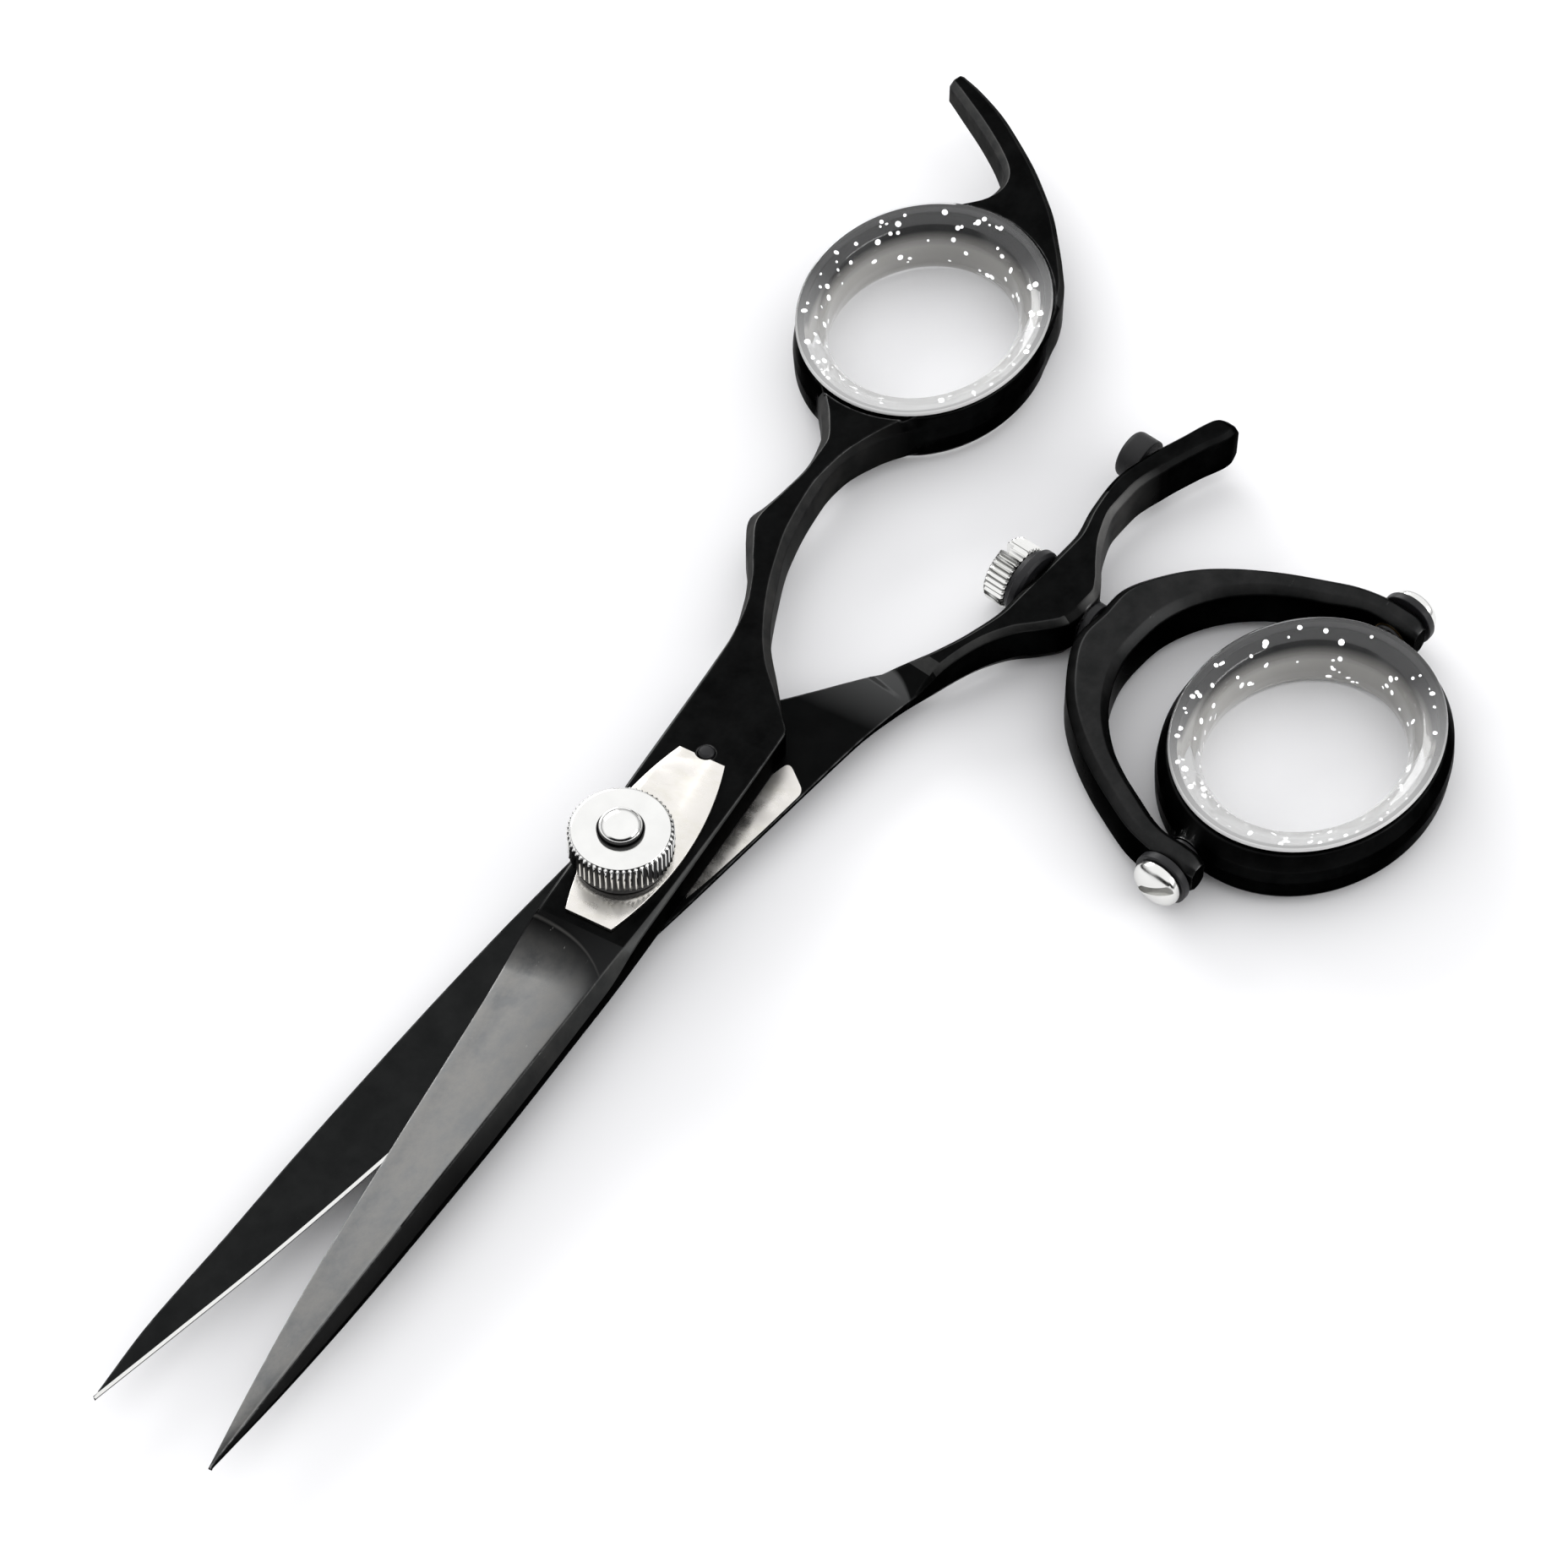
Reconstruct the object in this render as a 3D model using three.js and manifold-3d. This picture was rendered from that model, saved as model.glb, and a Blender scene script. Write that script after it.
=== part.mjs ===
// Hair cutting shears with a swivelling, flipping thumb ring.
// Millimetres, +Z up. The origin is on the pivot axis, on the plane that the shears lie on.
// +X runs to the tip of the upper blade and +Y to the thumb ring. The shears lie part open.
import * as THREE from "three";
import { mergeVertices } from "three/addons/utils/BufferGeometryUtils.js";
import Module from "manifold-3d";

const wasm = await Module();
wasm.setup();

// ---- Driving dimensions ----
const OPEN_ANGLE = THREE.MathUtils.degToRad(10.23); // how far the thumb half stands open
const TIP_X = 67.2; // pivot to blade tip
const INNER_UPPER = 3.5; // height of the finger half's inner face
const INNER_LOWER = 3.4; // height of the thumb half's inner face
const HALF_THICK = 3.3; // thickness of each half at the pivot
const HALF_TOP = INNER_UPPER + HALF_THICK;
const SHANK_DROP = 2.6; // how far shanks and hub reach past the inner face
const BLADE_HEEL_X = 8.6; // where the hollow-ground face starts
const RUNOUT = 5; // length over which that face reaches its depth
const BLADE_TOP = 0.15; // thickness left at the cutting edge

const BOLT_R = 2.3;
const BOLT_HEAD_R = 4.1;
const BOLT_HEAD_Z = 1.3;
const BOLT_END_R = 1.95;
const BOLT_TOP_Z = 12.6;
const BUSHING_R = 3.05;
const BEARING_R = 4.2;
const BEARING_Z0 = 3.0;
const BEARING_Z1 = 3.95;
const DIAL_R = 4.75;
const DIAL_Z0 = 8.1;
const DIAL_Z1 = 11.35;
const DIAL_TEETH = 54;
const DIAL_FLUTE = 0.22; // depth of its knurl
const PLATE_Z0 = 6.85;
const PLATE_Z1 = 7.25;
const PLATE_MID_Y = 0.85;
const PIN_X = -13.5;
const PIN_R = 0.75;
const PIN_Z0 = 5.2;

const OVAL = 0.85; // width to length of both ring openings
const FINGER_RING_R = 14.05; // long half axis of the finger ring, outside
const THUMB_RING_R = 14.85; // long half axis of the thumb ring, outside
const SEAT_R = 13.1; // long half axis of the seat that holds an insert
const LIP_R = 14.1; // long half axis of the flat under an insert's lip
const FINGER_RING_Z0 = 0.6;
const THUMB_RING_Z0 = 0.6;
const RING_Z1 = 6.5;
const FINGER_RING = new THREE.Vector2(-68.95, -6.85);

const AXIS_Z = 3.55; // height of the swivel axis and of the flip axis
const YOKE_X = -49.0; // the swivel axis, in the closed position
const HUB_Y0 = 8.35; // hub face under the screw
const HUB_Y1 = 14.35; // hub face towards the yoke
const YOKE_Y0 = 15.3; // flat pad at the foot of the yoke
const YOKE_BORE_R = 1.35;
const HUB_BORE_R = 2.1;
const SWIVEL_R = 1.25; // shaft of the yoke screw
const SCREW_HEAD_R = 3.25;
const SCREW_TEETH = 32;
const FLIP_Y = 36.7; // flip axis of the thumb ring
const THUMB_RING_Y = 38.6; // centre of the thumb ring
const ARM_IN = 15.7; // arm faces, out from the swivel axis
const ARM_OUT = 18.2;
const WASHER_THICK = 0.8;
const ARM_BORE_R = 1.75;
const FLIP_R = 1.0; // shaft of a ring screw
const BOSS_OUT = 15.2; // side bosses of the thumb ring
const BOSS_R = 1.7;
const SLOT_TURN = -1.02; // how far the slot of a ring screw stands from upright

const BUMPER_X = -67.2;
const BUMPER_Y0 = 5.0;
const BUMPER_R = 2.35;
const STUD_R = 0.8;
const FIT = 0.1; // running clearance
const GAP = 0.3; // clearance between pieces that only lie against each other

// ---- Solids ----
function solid(geometry) {
  const g = (geometry.index ? geometry.toNonIndexed() : geometry).clone();
  const bare = new THREE.BufferGeometry().setAttribute("position", g.getAttribute("position"));
  const merged = mergeVertices(bare, 1e-4);
  return new wasm.Manifold(new wasm.Mesh({
    numProp: 3,
    vertProperties: merged.attributes.position.array,
    triVerts: new Uint32Array(merged.index.array),
  }));
}

function geometryOf(manifold) {
  const mesh = manifold.getMesh();
  const g = new THREE.BufferGeometry();
  g.setAttribute("position", new THREE.BufferAttribute(mesh.vertProperties, 3));
  g.setIndex(new THREE.BufferAttribute(mesh.triVerts, 1));
  g.computeVertexNormals();
  return g;
}

// A value that follows hand-set points along x without overshoot (monotone cubic).
function along(points) {
  const p = [...points].sort((a, b) => a[0] - b[0]);
  const secant = p.slice(1).map((q, i) => (q[1] - p[i][1]) / (q[0] - p[i][0]));
  const slope = p.map((_, i) => {
    const a = secant[Math.max(i - 1, 0)];
    const b = secant[Math.min(i, secant.length - 1)];
    return a * b <= 0 ? 0 : (2 * a * b) / (a + b);
  });
  return (x) => {
    const last = p.length - 1;
    if (x <= p[0][0]) return p[0][1];
    if (x >= p[last][0]) return p[last][1];
    const i = p.findIndex((q, j) => j < last && x < p[j + 1][0]);
    const w = p[i + 1][0] - p[i][0];
    const t = (x - p[i][0]) / w;
    return (1 + 2 * t) * (1 - t) ** 2 * p[i][1] + t * (1 - t) ** 2 * w * slope[i]
      + t * t * (3 - 2 * t) * p[i + 1][1] + t * t * (t - 1) * w * slope[i + 1];
  };
}

// A closed skin through sections that all have the same number of points, which run anticlockwise
// when looking from the first section to the next.
function loft(sections) {
  const n = sections[0].length;
  const points = sections.flat();
  const middle = (s) => s.reduce((sum, p) => sum.add(p), new THREE.Vector3()).divideScalar(n);
  points.push(middle(sections[0]), middle(sections[sections.length - 1]));
  const first = points.length - 2;
  const end = (sections.length - 1) * n;
  const index = [];
  for (let j = 0; j < n; j++) {
    const k = (j + 1) % n;
    for (let i = 0; i < end; i += n) index.push(i + j, i + n + k, i + k, i + j, i + n + j, i + n + k);
    index.push(first, j, k, first + 1, end + k, end + j);
  }
  const g = new THREE.BufferGeometry();
  g.setAttribute("position", new THREE.Float32BufferAttribute(points.flatMap((p) => p.toArray()), 3));
  g.setIndex(index);
  return g;
}

// A body of revolution about Y from [radius, y] pairs; the profile closes on itself or on the axis.
const turned = (profile, segments = 32) =>
  new THREE.LatheGeometry(profile.map(([r, y]) => new THREE.Vector2(r, y)), segments);

const turnedZ = (profile, segments) => turned(profile, segments).rotateX(Math.PI / 2);

// A sleeve or disc with a through bore, along Y.
const sleeve = (rIn, rOut, y0, y1, segments = 28) =>
  turned([[rIn, y0], [rOut, y0], [rOut, y1], [rIn, y1], [rIn, y0]], segments);

// A ring-shaped body on the oval plan of the finger openings.
const oval = (profile, segments = 48) => turnedZ(profile, segments).scale(1, OVAL, 1);

const bore = (r, length) => new THREE.CylinderGeometry(r, r, length, 28);
const boreZ = (r, z0, z1) => bore(r, z1 - z0).rotateX(Math.PI / 2).translate(0, 0, (z0 + z1) / 2);

// ---- The two forged halves ----
// One description serves both. y is measured towards the spine, z away from the inner face:
// edge/edgeTop are the cutting side at the inner face and on top, spine/ridge the spine side.
function halfSection(f, x) {
  const h = f.height(x);
  const z0 = f.inner(x);
  const under = f.underBevel(x);
  const edge = f.edge(x);
  const spine = f.spine(x);
  const ridge = f.ridge(x);
  const edgeTop = f.edgeTop(x);
  const depth = (heel) => 1 - (1 - THREE.MathUtils.clamp((x - heel) / RUNOUT, 0, 1)) ** 2;
  const across = [0.25, 0.5, 0.75, 1].map((t) => {
    const ground = depth(BLADE_HEEL_X + 3.2 * (1 - t) ** 3);
    const hollow = h + (BLADE_TOP - h) * t - 0.9 * h * 0.25 * t * (1 - t);
    const z = THREE.MathUtils.lerp(h, hollow, ground);
    const y = THREE.MathUtils.lerp(ridge, THREE.MathUtils.lerp(edgeTop, edge, ground), t);
    return [y, z];
  });
  const edgeWall = THREE.MathUtils.lerp(f.edgeWall(x), BLADE_TOP / 2, depth(BLADE_HEEL_X));
  return [
    [edge + under, z0], [spine - under, z0], [spine, z0 + under], [spine, f.spineWall(x)],
    [ridge, h], ...across, [edge, edgeWall], [edge, z0 + under],
  ];
}

function half(f, stations, place) {
  return solid(loft(stations.map((x) => halfSection(f, x).map(([y, z]) => place(x, y, z)))));
}

// Stations close together where the outline turns, wider apart along the blade.
function stationsOf(spans) {
  const xs = [];
  for (const [from, to, count] of spans) {
    for (let i = 0; i < count; i++) xs.push(from + ((to - from) * i) / count);
  }
  xs.push(spans[spans.length - 1][1]);
  return xs;
}

const bladeHeight = [[TIP_X, 0.5], [58, 1.15], [45, 1.95], [30, 2.6], [12, 3.2], [8, HALF_THICK]];

const fingerShape = {
  edge: along([[TIP_X, -0.12], [58, -1.3], [48, -2.3], [35, -3.1], [18, -4.0], [6.4, -4.7],
    [-10, -4.6], [-20, -4.3], [-27, -4.4], [-31, -5.2], [-34.3, -6.6], [-37.3, -8.5], [-39.9, -9.5],
    [-41.5, -9.0], [-44, -8.4], [-48, -7.8], [-51, -8.2], [-54, -9.8], [-57.5, -12.6], [-60.5, -15.2]]),
  edgeTop: along([[8.6, -3.7], [-25, -3.6], [-28, -3.9], [-30, -4.3], [-33, -5.4], [-36, -7.0],
    [-39.3, -8.3], [-43, -7.7], [-47, -7.1], [-50, -7.1], [-53, -8.4], [-57.5, -12], [-60.5, -14.6]]),
  spine: along([[TIP_X, 0.12], [58, 1.55], [48, 2.75], [38, 3.65], [28, 4.45], [18, 5.05], [8, 5.55],
    [-18.7, 5.95], [-20.5, 4.75], [-24, 2.2], [-27.2, -0.2], [-30, -1.7], [-33.2, -2.95],
    [-38.7, -4.65], [-43.7, -5.3], [-46.7, -5.4], [-49.7, -5.0], [-53.7, -3.2], [-57.5, -0.2],
    [-60.5, 1.8]]),
  ridge: along([[TIP_X, 0.03], [58, 0.9], [49, 1.65], [29.5, 3.2], [20, 3.95], [10, 4.75], [0, 5.4],
    [-18.7, 5.9], [-20.5, 4.6], [-22, 3.2], [-25, 0.4], [-28, -1.5], [-33, -3.7], [-36, -4.6],
    [-40, -5.5], [-45, -5.85], [-49, -5.3], [-52, -4.3], [-57.5, -1.5], [-60.5, 0.5]]),
  height: along([...bladeHeight, [-57.5, HALF_THICK]]),
  inner: along([[-26.5, 0], [-31.5, -SHANK_DROP + 0.3], [-57.5, -SHANK_DROP + 0.3]]),
  underBevel: along([[-25.5, 0], [-31, 0.7], [-57.5, 0.8]]),
  spineWall: along([[TIP_X, 0.25], [45, 0.8], [12, 1.6], [6, 2.9], [-19, 3.1], [-26, 2.5], [-57.5, 2.0]]),
  edgeWall: along([[9, 0.4], [-25, 0.5], [-32, 1.6], [-57.5, 1.9]]),
};

// The thumb half is given closed, with its signs turned: y here is towards its own spine.
const thumbShape = {
  edge: along([[TIP_X, -0.12], [58, -1.15], [48, -2.2], [35, -3.15], [18, -4.1], [8, -4.9], [2, -6.0],
    [-10, -6.3], [-24, -6.6], [-30, -7.1], [-34.6, -7.9], [-39.3, -9.3], [-42.3, -10.9],
    [-44.3, -12.7], [-46.2, -14.1], [-47.6, -HUB_Y1], [-50, -HUB_Y1], [-51.4, -13.7], [-53.2, -12.4],
    [-56, -10.7], [-59, -9.7], [-62, -9.6], [-66, -10.4], [-70, -11.6], [-73.2, -12.65], [-74.1, -12.6],
    [-74.4, -12.2]]),
  edgeTop: along([[8.6, -4.0], [-5, -4.8], [-24, -5.1], [-30, -5.9], [-35, -7.2], [-39.3, -8.5],
    [-42.3, -10.1], [-44.6, -12.2], [-46.6, -13.5], [-51, -13.3], [-53, -11.6], [-56, -10.0],
    [-59, -9.1], [-62, -9.0], [-66, -9.7], [-70, -10.9], [-73.2, -12.0], [-74.1, -12.1], [-74.4, -11.9]]),
  spine: along([[TIP_X, 0.12], [59, 1.43], [49, 2.2], [39, 3.1], [29, 3.8], [19, 4.4], [8.7, 4.8],
    [-15, 5.1], [-18.5, 4.9], [-21, 4.0], [-24.1, 1.9], [-27, 0], [-30, -1.9], [-33, -3.9],
    [-36, -6.0], [-40, -7.6], [-44, -HUB_Y0], [-54.2, -HUB_Y0], [-58, -7.6], [-62, -7.2],
    [-66, -7.9], [-70, -9.1], [-73.2, -10.1], [-74.1, -10.7], [-74.4, -11.1]]),
  ridge: along([[TIP_X, 0.03], [58, 0.8], [49, 1.4], [30, 2.6], [20, 3.3], [10, 4.0], [0, 4.4],
    [-15, 4.6], [-19, 4.2], [-21.5, 3.0], [-24.1, 1.1], [-27, -0.7], [-30, -2.5], [-33, -4.5],
    [-36, -6.5], [-40, -8.1], [-44, -8.9], [-54, -8.9], [-58, -8.1], [-62, -7.8],
    [-66, -8.5], [-70, -9.7], [-73.2, -10.7], [-74.1, -11.1], [-74.4, -11.4]]),
  height: along([...bladeHeight.slice(0, -1), [8, HALF_THICK - 0.1], [-20, HALF_THICK - 0.1],
    [-44, 2.7], [-55, 2.7], [-62, 2.5], [-73.2, 2.4], [-74.1, 1.8], [-74.4, 1.2]]),
  inner: along([[-32.2, 0], [-35.5, -1.9], [-40, -2.6], [-47, -SHANK_DROP - 0.3], [-52, -SHANK_DROP - 0.3],
    [-60, -3.2], [-73.2, -3.4], [-74.1, -2.8], [-74.4, -2.1]]),
  underBevel: along([[-31.5, 0], [-35, 0.5], [-54, 0.7], [-60, 0.55], [-74.1, 0.5], [-74.4, 0.3]]),
  spineWall: along([[TIP_X, 0.25], [45, 0.8], [12, 1.6], [6, 2.4], [-73.2, 1.4], [-74.4, 0.4]]),
  edgeWall: along([[9, 0.4], [-25, 0.5], [-35, 1.4], [-73.2, 1.4], [-74.4, 0.4]]),
};

// A bar in plan between an inner and an outer rail, with its long corners cut.
function railSection([x0, y0], [x1, y1], zLow, zHigh, corner = 0.9) {
  const a = new THREE.Vector2(x0, y0);
  const b = new THREE.Vector2(x1, y1);
  const thick = a.distanceTo(b);
  const cut = Math.min(corner, thick * 0.28);
  return [[0, zLow + cut], [cut, zLow], [thick - cut, zLow], [thick, zLow + cut], [thick, zHigh - cut],
    [thick - cut, zHigh], [cut, zHigh], [0, zHigh - cut]].map(([d, z]) => {
    const p = a.clone().lerp(b, d / thick);
    return new THREE.Vector3(p.x, p.y, z);
  });
}

// The little-finger rest: [inner point, outer point, underside] from inside the ring out to the tip.
const tangRails = [
  [[-66.5, -5], [-65.5, 3.9], 1.2],
  [[-70, -8], [-69.5, 4.7], 1.2],
  [[-73.5, -9.5], [-73.4, 4.6], 1.2],
  [[-76.5, -11.5], [-77.4, 3.7], 1.3],
  [[-79.8, -13.2], [-80.3, 2.1], 1.6],
  [[-82.2, -11.0], [-83.0, 0.3], 1.7],
  [[-84.3, -8.9], [-85.8, -1.7], 1.9],
  [[-86.3, -8.1], [-88.0, -3.7], 2.1],
  [[-88.3, -8.5], [-90.5, -6.2], 2.3],
  [[-90.3, -10.3], [-93.0, -9.2], 2.6],
  [[-92.6, -13.2], [-95.3, -12.3], 2.9],
  [[-94.9, -16.6], [-97.2, -15.8], 3.2],
  [[-96.2, -18.6], [-98.0, -17.9], 3.5],
];
const fingerTang = () => solid(loft(tangRails.map(([inner, outer, z0]) =>
  railSection(inner, outer, z0, HALF_TOP - 0.05, 0.6))));

// An oval puck with rounded sides: the body of a finger ring before its seat is cut.
const ringBody = (r, z0) => solid(oval([[0, z0], [r - 0.7, z0], [r - 0.15, z0 + 0.9], [r, AXIS_Z],
  [r - 0.15, 5.0], [Math.min(r - 0.4, LIP_R - 0.2), RING_Z1], [0, RING_Z1]]));
// The through seat of an insert, with a flat for the insert's upper lip.
const seatCut = () => solid(oval([[0, -1], [SEAT_R, -1], [SEAT_R, RING_Z1], [LIP_R, RING_Z1], [LIP_R, 9],
  [0, 9]]));

function fingerHalf() {
  const xs = stationsOf([[TIP_X, 20, 8], [20, 13, 2], [13, 8.4, 5], [8.4, -18.2, 5], [-18.2, -32, 8],
    [-32, -60.5, 13]]);
  const shank = half(fingerShape, xs, (x, y, z) => new THREE.Vector3(x, y, INNER_UPPER + z));
  const at = [FINGER_RING.x, FINGER_RING.y, 0];
  return shank
    .add(ringBody(FINGER_RING_R, FINGER_RING_Z0).translate(at))
    .add(fingerTang())
    .subtract(seatCut().translate(at))
    .subtract(solid(boreZ(BOLT_R + FIT, 2, 9)))
    .subtract(solid(boreZ(BEARING_R + FIT, 2, BEARING_Z1 + FIT)))
    .subtract(solid(boreZ(PIN_R + FIT, PIN_Z0 - FIT, 9)).translate([PIN_X, PLATE_MID_Y, 0]));
}

function thumbHalf() {
  const xs = stationsOf([[TIP_X, 20, 8], [20, 13, 2], [13, 8.4, 4], [8.4, -18, 5], [-18, -36, 10],
    [-36, -56, 14], [-56, -73.2, 8], [-73.2, -74.4, 4]]);
  const body = half(thumbShape, xs, (x, y, z) => new THREE.Vector3(x, -y, INNER_LOWER - z));
  return body
    .subtract(solid(boreZ(BOLT_HEAD_R + FIT, -1, BOLT_HEAD_Z + FIT)))
    .subtract(solid(boreZ(BUSHING_R + FIT, -1, 5)))
    .subtract(solid(boreZ(BEARING_R + FIT, BEARING_Z0 - FIT, 5)))
    .subtract(solid(bore(HUB_BORE_R, 12)).translate([YOKE_X, 11, AXIS_Z]))
    .subtract(solid(bore(STUD_R + FIT, 5)).translate([BUMPER_X, BUMPER_Y0 + 2.2, AXIS_Z]));
}

// ---- Pivot ----
const pivotBolt = () => turnedZ([[0, 0], [BOLT_HEAD_R - 0.3, 0], [BOLT_HEAD_R, 0.3],
  [BOLT_HEAD_R, BOLT_HEAD_Z], [BOLT_R, BOLT_HEAD_Z], [BOLT_R, DIAL_Z0 - 0.3], [BOLT_END_R, DIAL_Z0 - 0.1],
  [BOLT_END_R, DIAL_Z1 + 0.2], [BOLT_END_R * 0.9, DIAL_Z1 + 0.7], [BOLT_END_R * 0.55, BOLT_TOP_Z - 0.16],
  [0, BOLT_TOP_Z]]);

const pivotBushing = () =>
  sleeve(BOLT_R + FIT, BUSHING_R, BOLT_HEAD_Z + FIT, BEARING_Z0 - FIT).rotateX(Math.PI / 2);
const bearingWasher = () =>
  sleeve(BOLT_R + FIT, BEARING_R, BEARING_Z0, BEARING_Z1).rotateX(Math.PI / 2);

// A lens-shaped spring plate with cut ends, notched round its locating pin.
function leafPlate() {
  const endLeft = -12.8;
  const endRight = 7.3;
  const halfEnd = 2.3;
  const bulge = 1.75;
  const midX = (endLeft + endRight) / 2;
  const s = new THREE.Shape();
  s.moveTo(endLeft, PLATE_MID_Y - halfEnd);
  s.quadraticCurveTo(midX, PLATE_MID_Y - halfEnd - 2 * bulge, endRight, PLATE_MID_Y - halfEnd);
  s.lineTo(endRight, PLATE_MID_Y + halfEnd);
  s.quadraticCurveTo(midX, PLATE_MID_Y + halfEnd + 2 * bulge, endLeft, PLATE_MID_Y + halfEnd);
  const depth = PLATE_Z1 - PLATE_Z0;
  const g = new THREE.ExtrudeGeometry(s, { depth, curveSegments: 12, bevelEnabled: false });
  return solid(g.translate(0, 0, PLATE_Z0))
    .subtract(solid(boreZ(BOLT_R + FIT, 5, 9)))
    .subtract(solid(boreZ(PIN_R + GAP, 5, 9)).translate([PIN_X, PLATE_MID_Y, 0]));
}

const platePin = () =>
  turnedZ([[0, PIN_Z0], [PIN_R, PIN_Z0], [PIN_R, 7.0], [PIN_R * 0.7, 7.2], [0, 7.25]], 20);

const clickWasher = () =>
  sleeve(BOLT_R + FIT, DIAL_R - 0.5, PLATE_Z1 + FIT, DIAL_Z0 - FIT).rotateX(Math.PI / 2);

// A toothed outline: straight flutes between root and crest.
function knurled(rCrest, depth, teeth) {
  const s = new THREE.Shape();
  for (let i = 0; i < teeth * 2; i++) {
    const a = (i * Math.PI) / teeth;
    const r = i % 2 ? rCrest - depth : rCrest;
    if (i) s.lineTo(r * Math.cos(a), r * Math.sin(a));
    else s.moveTo(r, 0);
  }
  s.closePath();
  return s;
}

function tensionDial() {
  const rim = 2.9;
  const flutes = knurled(DIAL_R, DIAL_FLUTE, DIAL_TEETH);
  const band = new THREE.ExtrudeGeometry(flutes, { depth: rim, bevelEnabled: false });
  const cap = turnedZ([[0, -0.5], [DIAL_R - 0.35, -0.5], [DIAL_R - 0.35, 0.1],
    [DIAL_R - 0.7, DIAL_Z1 - DIAL_Z0 - rim], [0, DIAL_Z1 - DIAL_Z0 - rim]]);
  return solid(band.translate(0, 0, DIAL_Z0))
    .add(solid(cap.translate(0, 0, DIAL_Z0 + rim)))
    .subtract(solid(boreZ(BOLT_END_R + FIT, 5, 15)));
}

// ---- Finger inserts ----
// A liner with a wide lip on top of the ring and a waist that fills the ring's seat.
const insert = () => oval([[13.5, 6.75], [13.85, 7.0], [13.7, 7.3], [12.6, 7.4], [11.4, 6.9],
  [10.5, 5.6], [10.2, AXIS_Z], [10.5, 1.7], [11.2, 0.4], [12.0, 0], [12.6, 0], [12.85, 0.25],
  [12.85, 6.75], [13.5, 6.75]]);

// ---- Closing stop on the thumb tang ----
const bumper = () => turned([[0, BUMPER_Y0], [BUMPER_R - 0.4, BUMPER_Y0], [BUMPER_R, BUMPER_Y0 + 0.4],
  [BUMPER_R, BUMPER_Y0 + 2.4], [STUD_R + FIT, BUMPER_Y0 + 2.4], [STUD_R + FIT, BUMPER_Y0 + 0.7],
  [0, BUMPER_Y0 + 0.7]], 28);
const bumperStud = () => turned([[0, BUMPER_Y0 + 0.8], [STUD_R, BUMPER_Y0 + 0.8], [STUD_R, BUMPER_Y0 + 4.4],
  [0, BUMPER_Y0 + 4.4]], 16);

// ---- Yoke ----
// Half of the fork in plan: [inner point, outer point, below the axis, above the axis], from the
// foot to an arm's end.
const forkStations = [
  [[0, 20.2], [0, YOKE_Y0], 3.3, 2.7],
  [[3.2, 20.45], [3.5, YOKE_Y0], 3.3, 2.7],
  [[6.2, 21.5], [6.7, 16.8], 3.3, 2.7],
  [[8.9, 23.2], [9.8, 19.1], 3.25, 2.65],
  [[11.2, 25.5], [12.4, 22.1], 3.2, 2.6],
  [[12.9, 28.1], [14.5, 25.4], 3.15, 2.55],
  [[14.3, 31.0], [16.3, 29.0], 3.0, 2.5],
  [[15.2, 32.9], [17.5, 31.8], 2.8, 2.5],
  [[ARM_IN, FLIP_Y - 2.1], [ARM_OUT - 0.1, FLIP_Y - 2.1], 2.6, 2.5],
  [[ARM_IN, FLIP_Y], [ARM_OUT, FLIP_Y], 2.5, 2.5],
  [[ARM_IN, FLIP_Y + 1.6], [ARM_OUT, FLIP_Y + 1.6], 2.1, 2.3],
  [[ARM_IN + 0.3, FLIP_Y + 2.5], [ARM_OUT - 0.4, FLIP_Y + 2.5], 1.2, 1.7],
];

const forkSection = ([inner, outer, below, above], side) =>
  railSection([YOKE_X + side * inner[0], inner[1]], [YOKE_X + side * outer[0], outer[1]],
    AXIS_Z - below, AXIS_Z + above);

function yoke() {
  const right = forkStations.map((s) => forkSection(s, 1));
  const left = forkStations.slice(1).map((s) => forkSection(s, -1)).reverse();
  return solid(loft([...left, ...right]))
    .subtract(solid(bore(YOKE_BORE_R, 6)).translate([YOKE_X, 16, AXIS_Z]))
    .subtract(solid(bore(ARM_BORE_R, 60).rotateZ(Math.PI / 2)).translate([YOKE_X, FLIP_Y, AXIS_Z]));
}

function yokeScrew() {
  const y0 = 4.3;
  const length = 2.35;
  const head = new THREE.ExtrudeGeometry(knurled(SCREW_HEAD_R, 0.25, SCREW_TEETH),
    { depth: length, bevelEnabled: false }).rotateX(-Math.PI / 2).translate(0, y0, 0);
  const slot = new THREE.BoxGeometry(1.0, 1.6, 9);
  return solid(head)
    .add(solid(bore(SWIVEL_R, 12.8).translate(0, y0 + 1.4 + 6.4, 0)))
    .subtract(solid(slot.translate(0, y0, 0)))
    .translate([YOKE_X, 0, AXIS_Z]);
}

const hubWasher = () => turned([[SWIVEL_R + FIT, 6.75], [3.05, 6.75], [3.15, 7.2], [3.5, 7.35], [3.5, 8.0],
  [3.2, 8.25], [SWIVEL_R + FIT, 8.25], [SWIVEL_R + FIT, 6.75]]).translate(YOKE_X, 0, AXIS_Z);
const hubBushing = () =>
  sleeve(SWIVEL_R + FIT, HUB_BORE_R - FIT, HUB_Y0 + FIT, HUB_Y1 - FIT).translate(YOKE_X, 0, AXIS_Z);
const yokeSpacer = () =>
  sleeve(SWIVEL_R + FIT, 2.0, HUB_Y1 + FIT, YOKE_Y0 - FIT).translate(YOKE_X, 0, AXIS_Z);

// ---- Pieces on the flip axis: made along +Y from the swivel axis, then laid along X ----
const onFlipAxis = (geometry, side) =>
  geometry.rotateZ(-side * Math.PI / 2).translate(YOKE_X, FLIP_Y, AXIS_Z);

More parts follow.
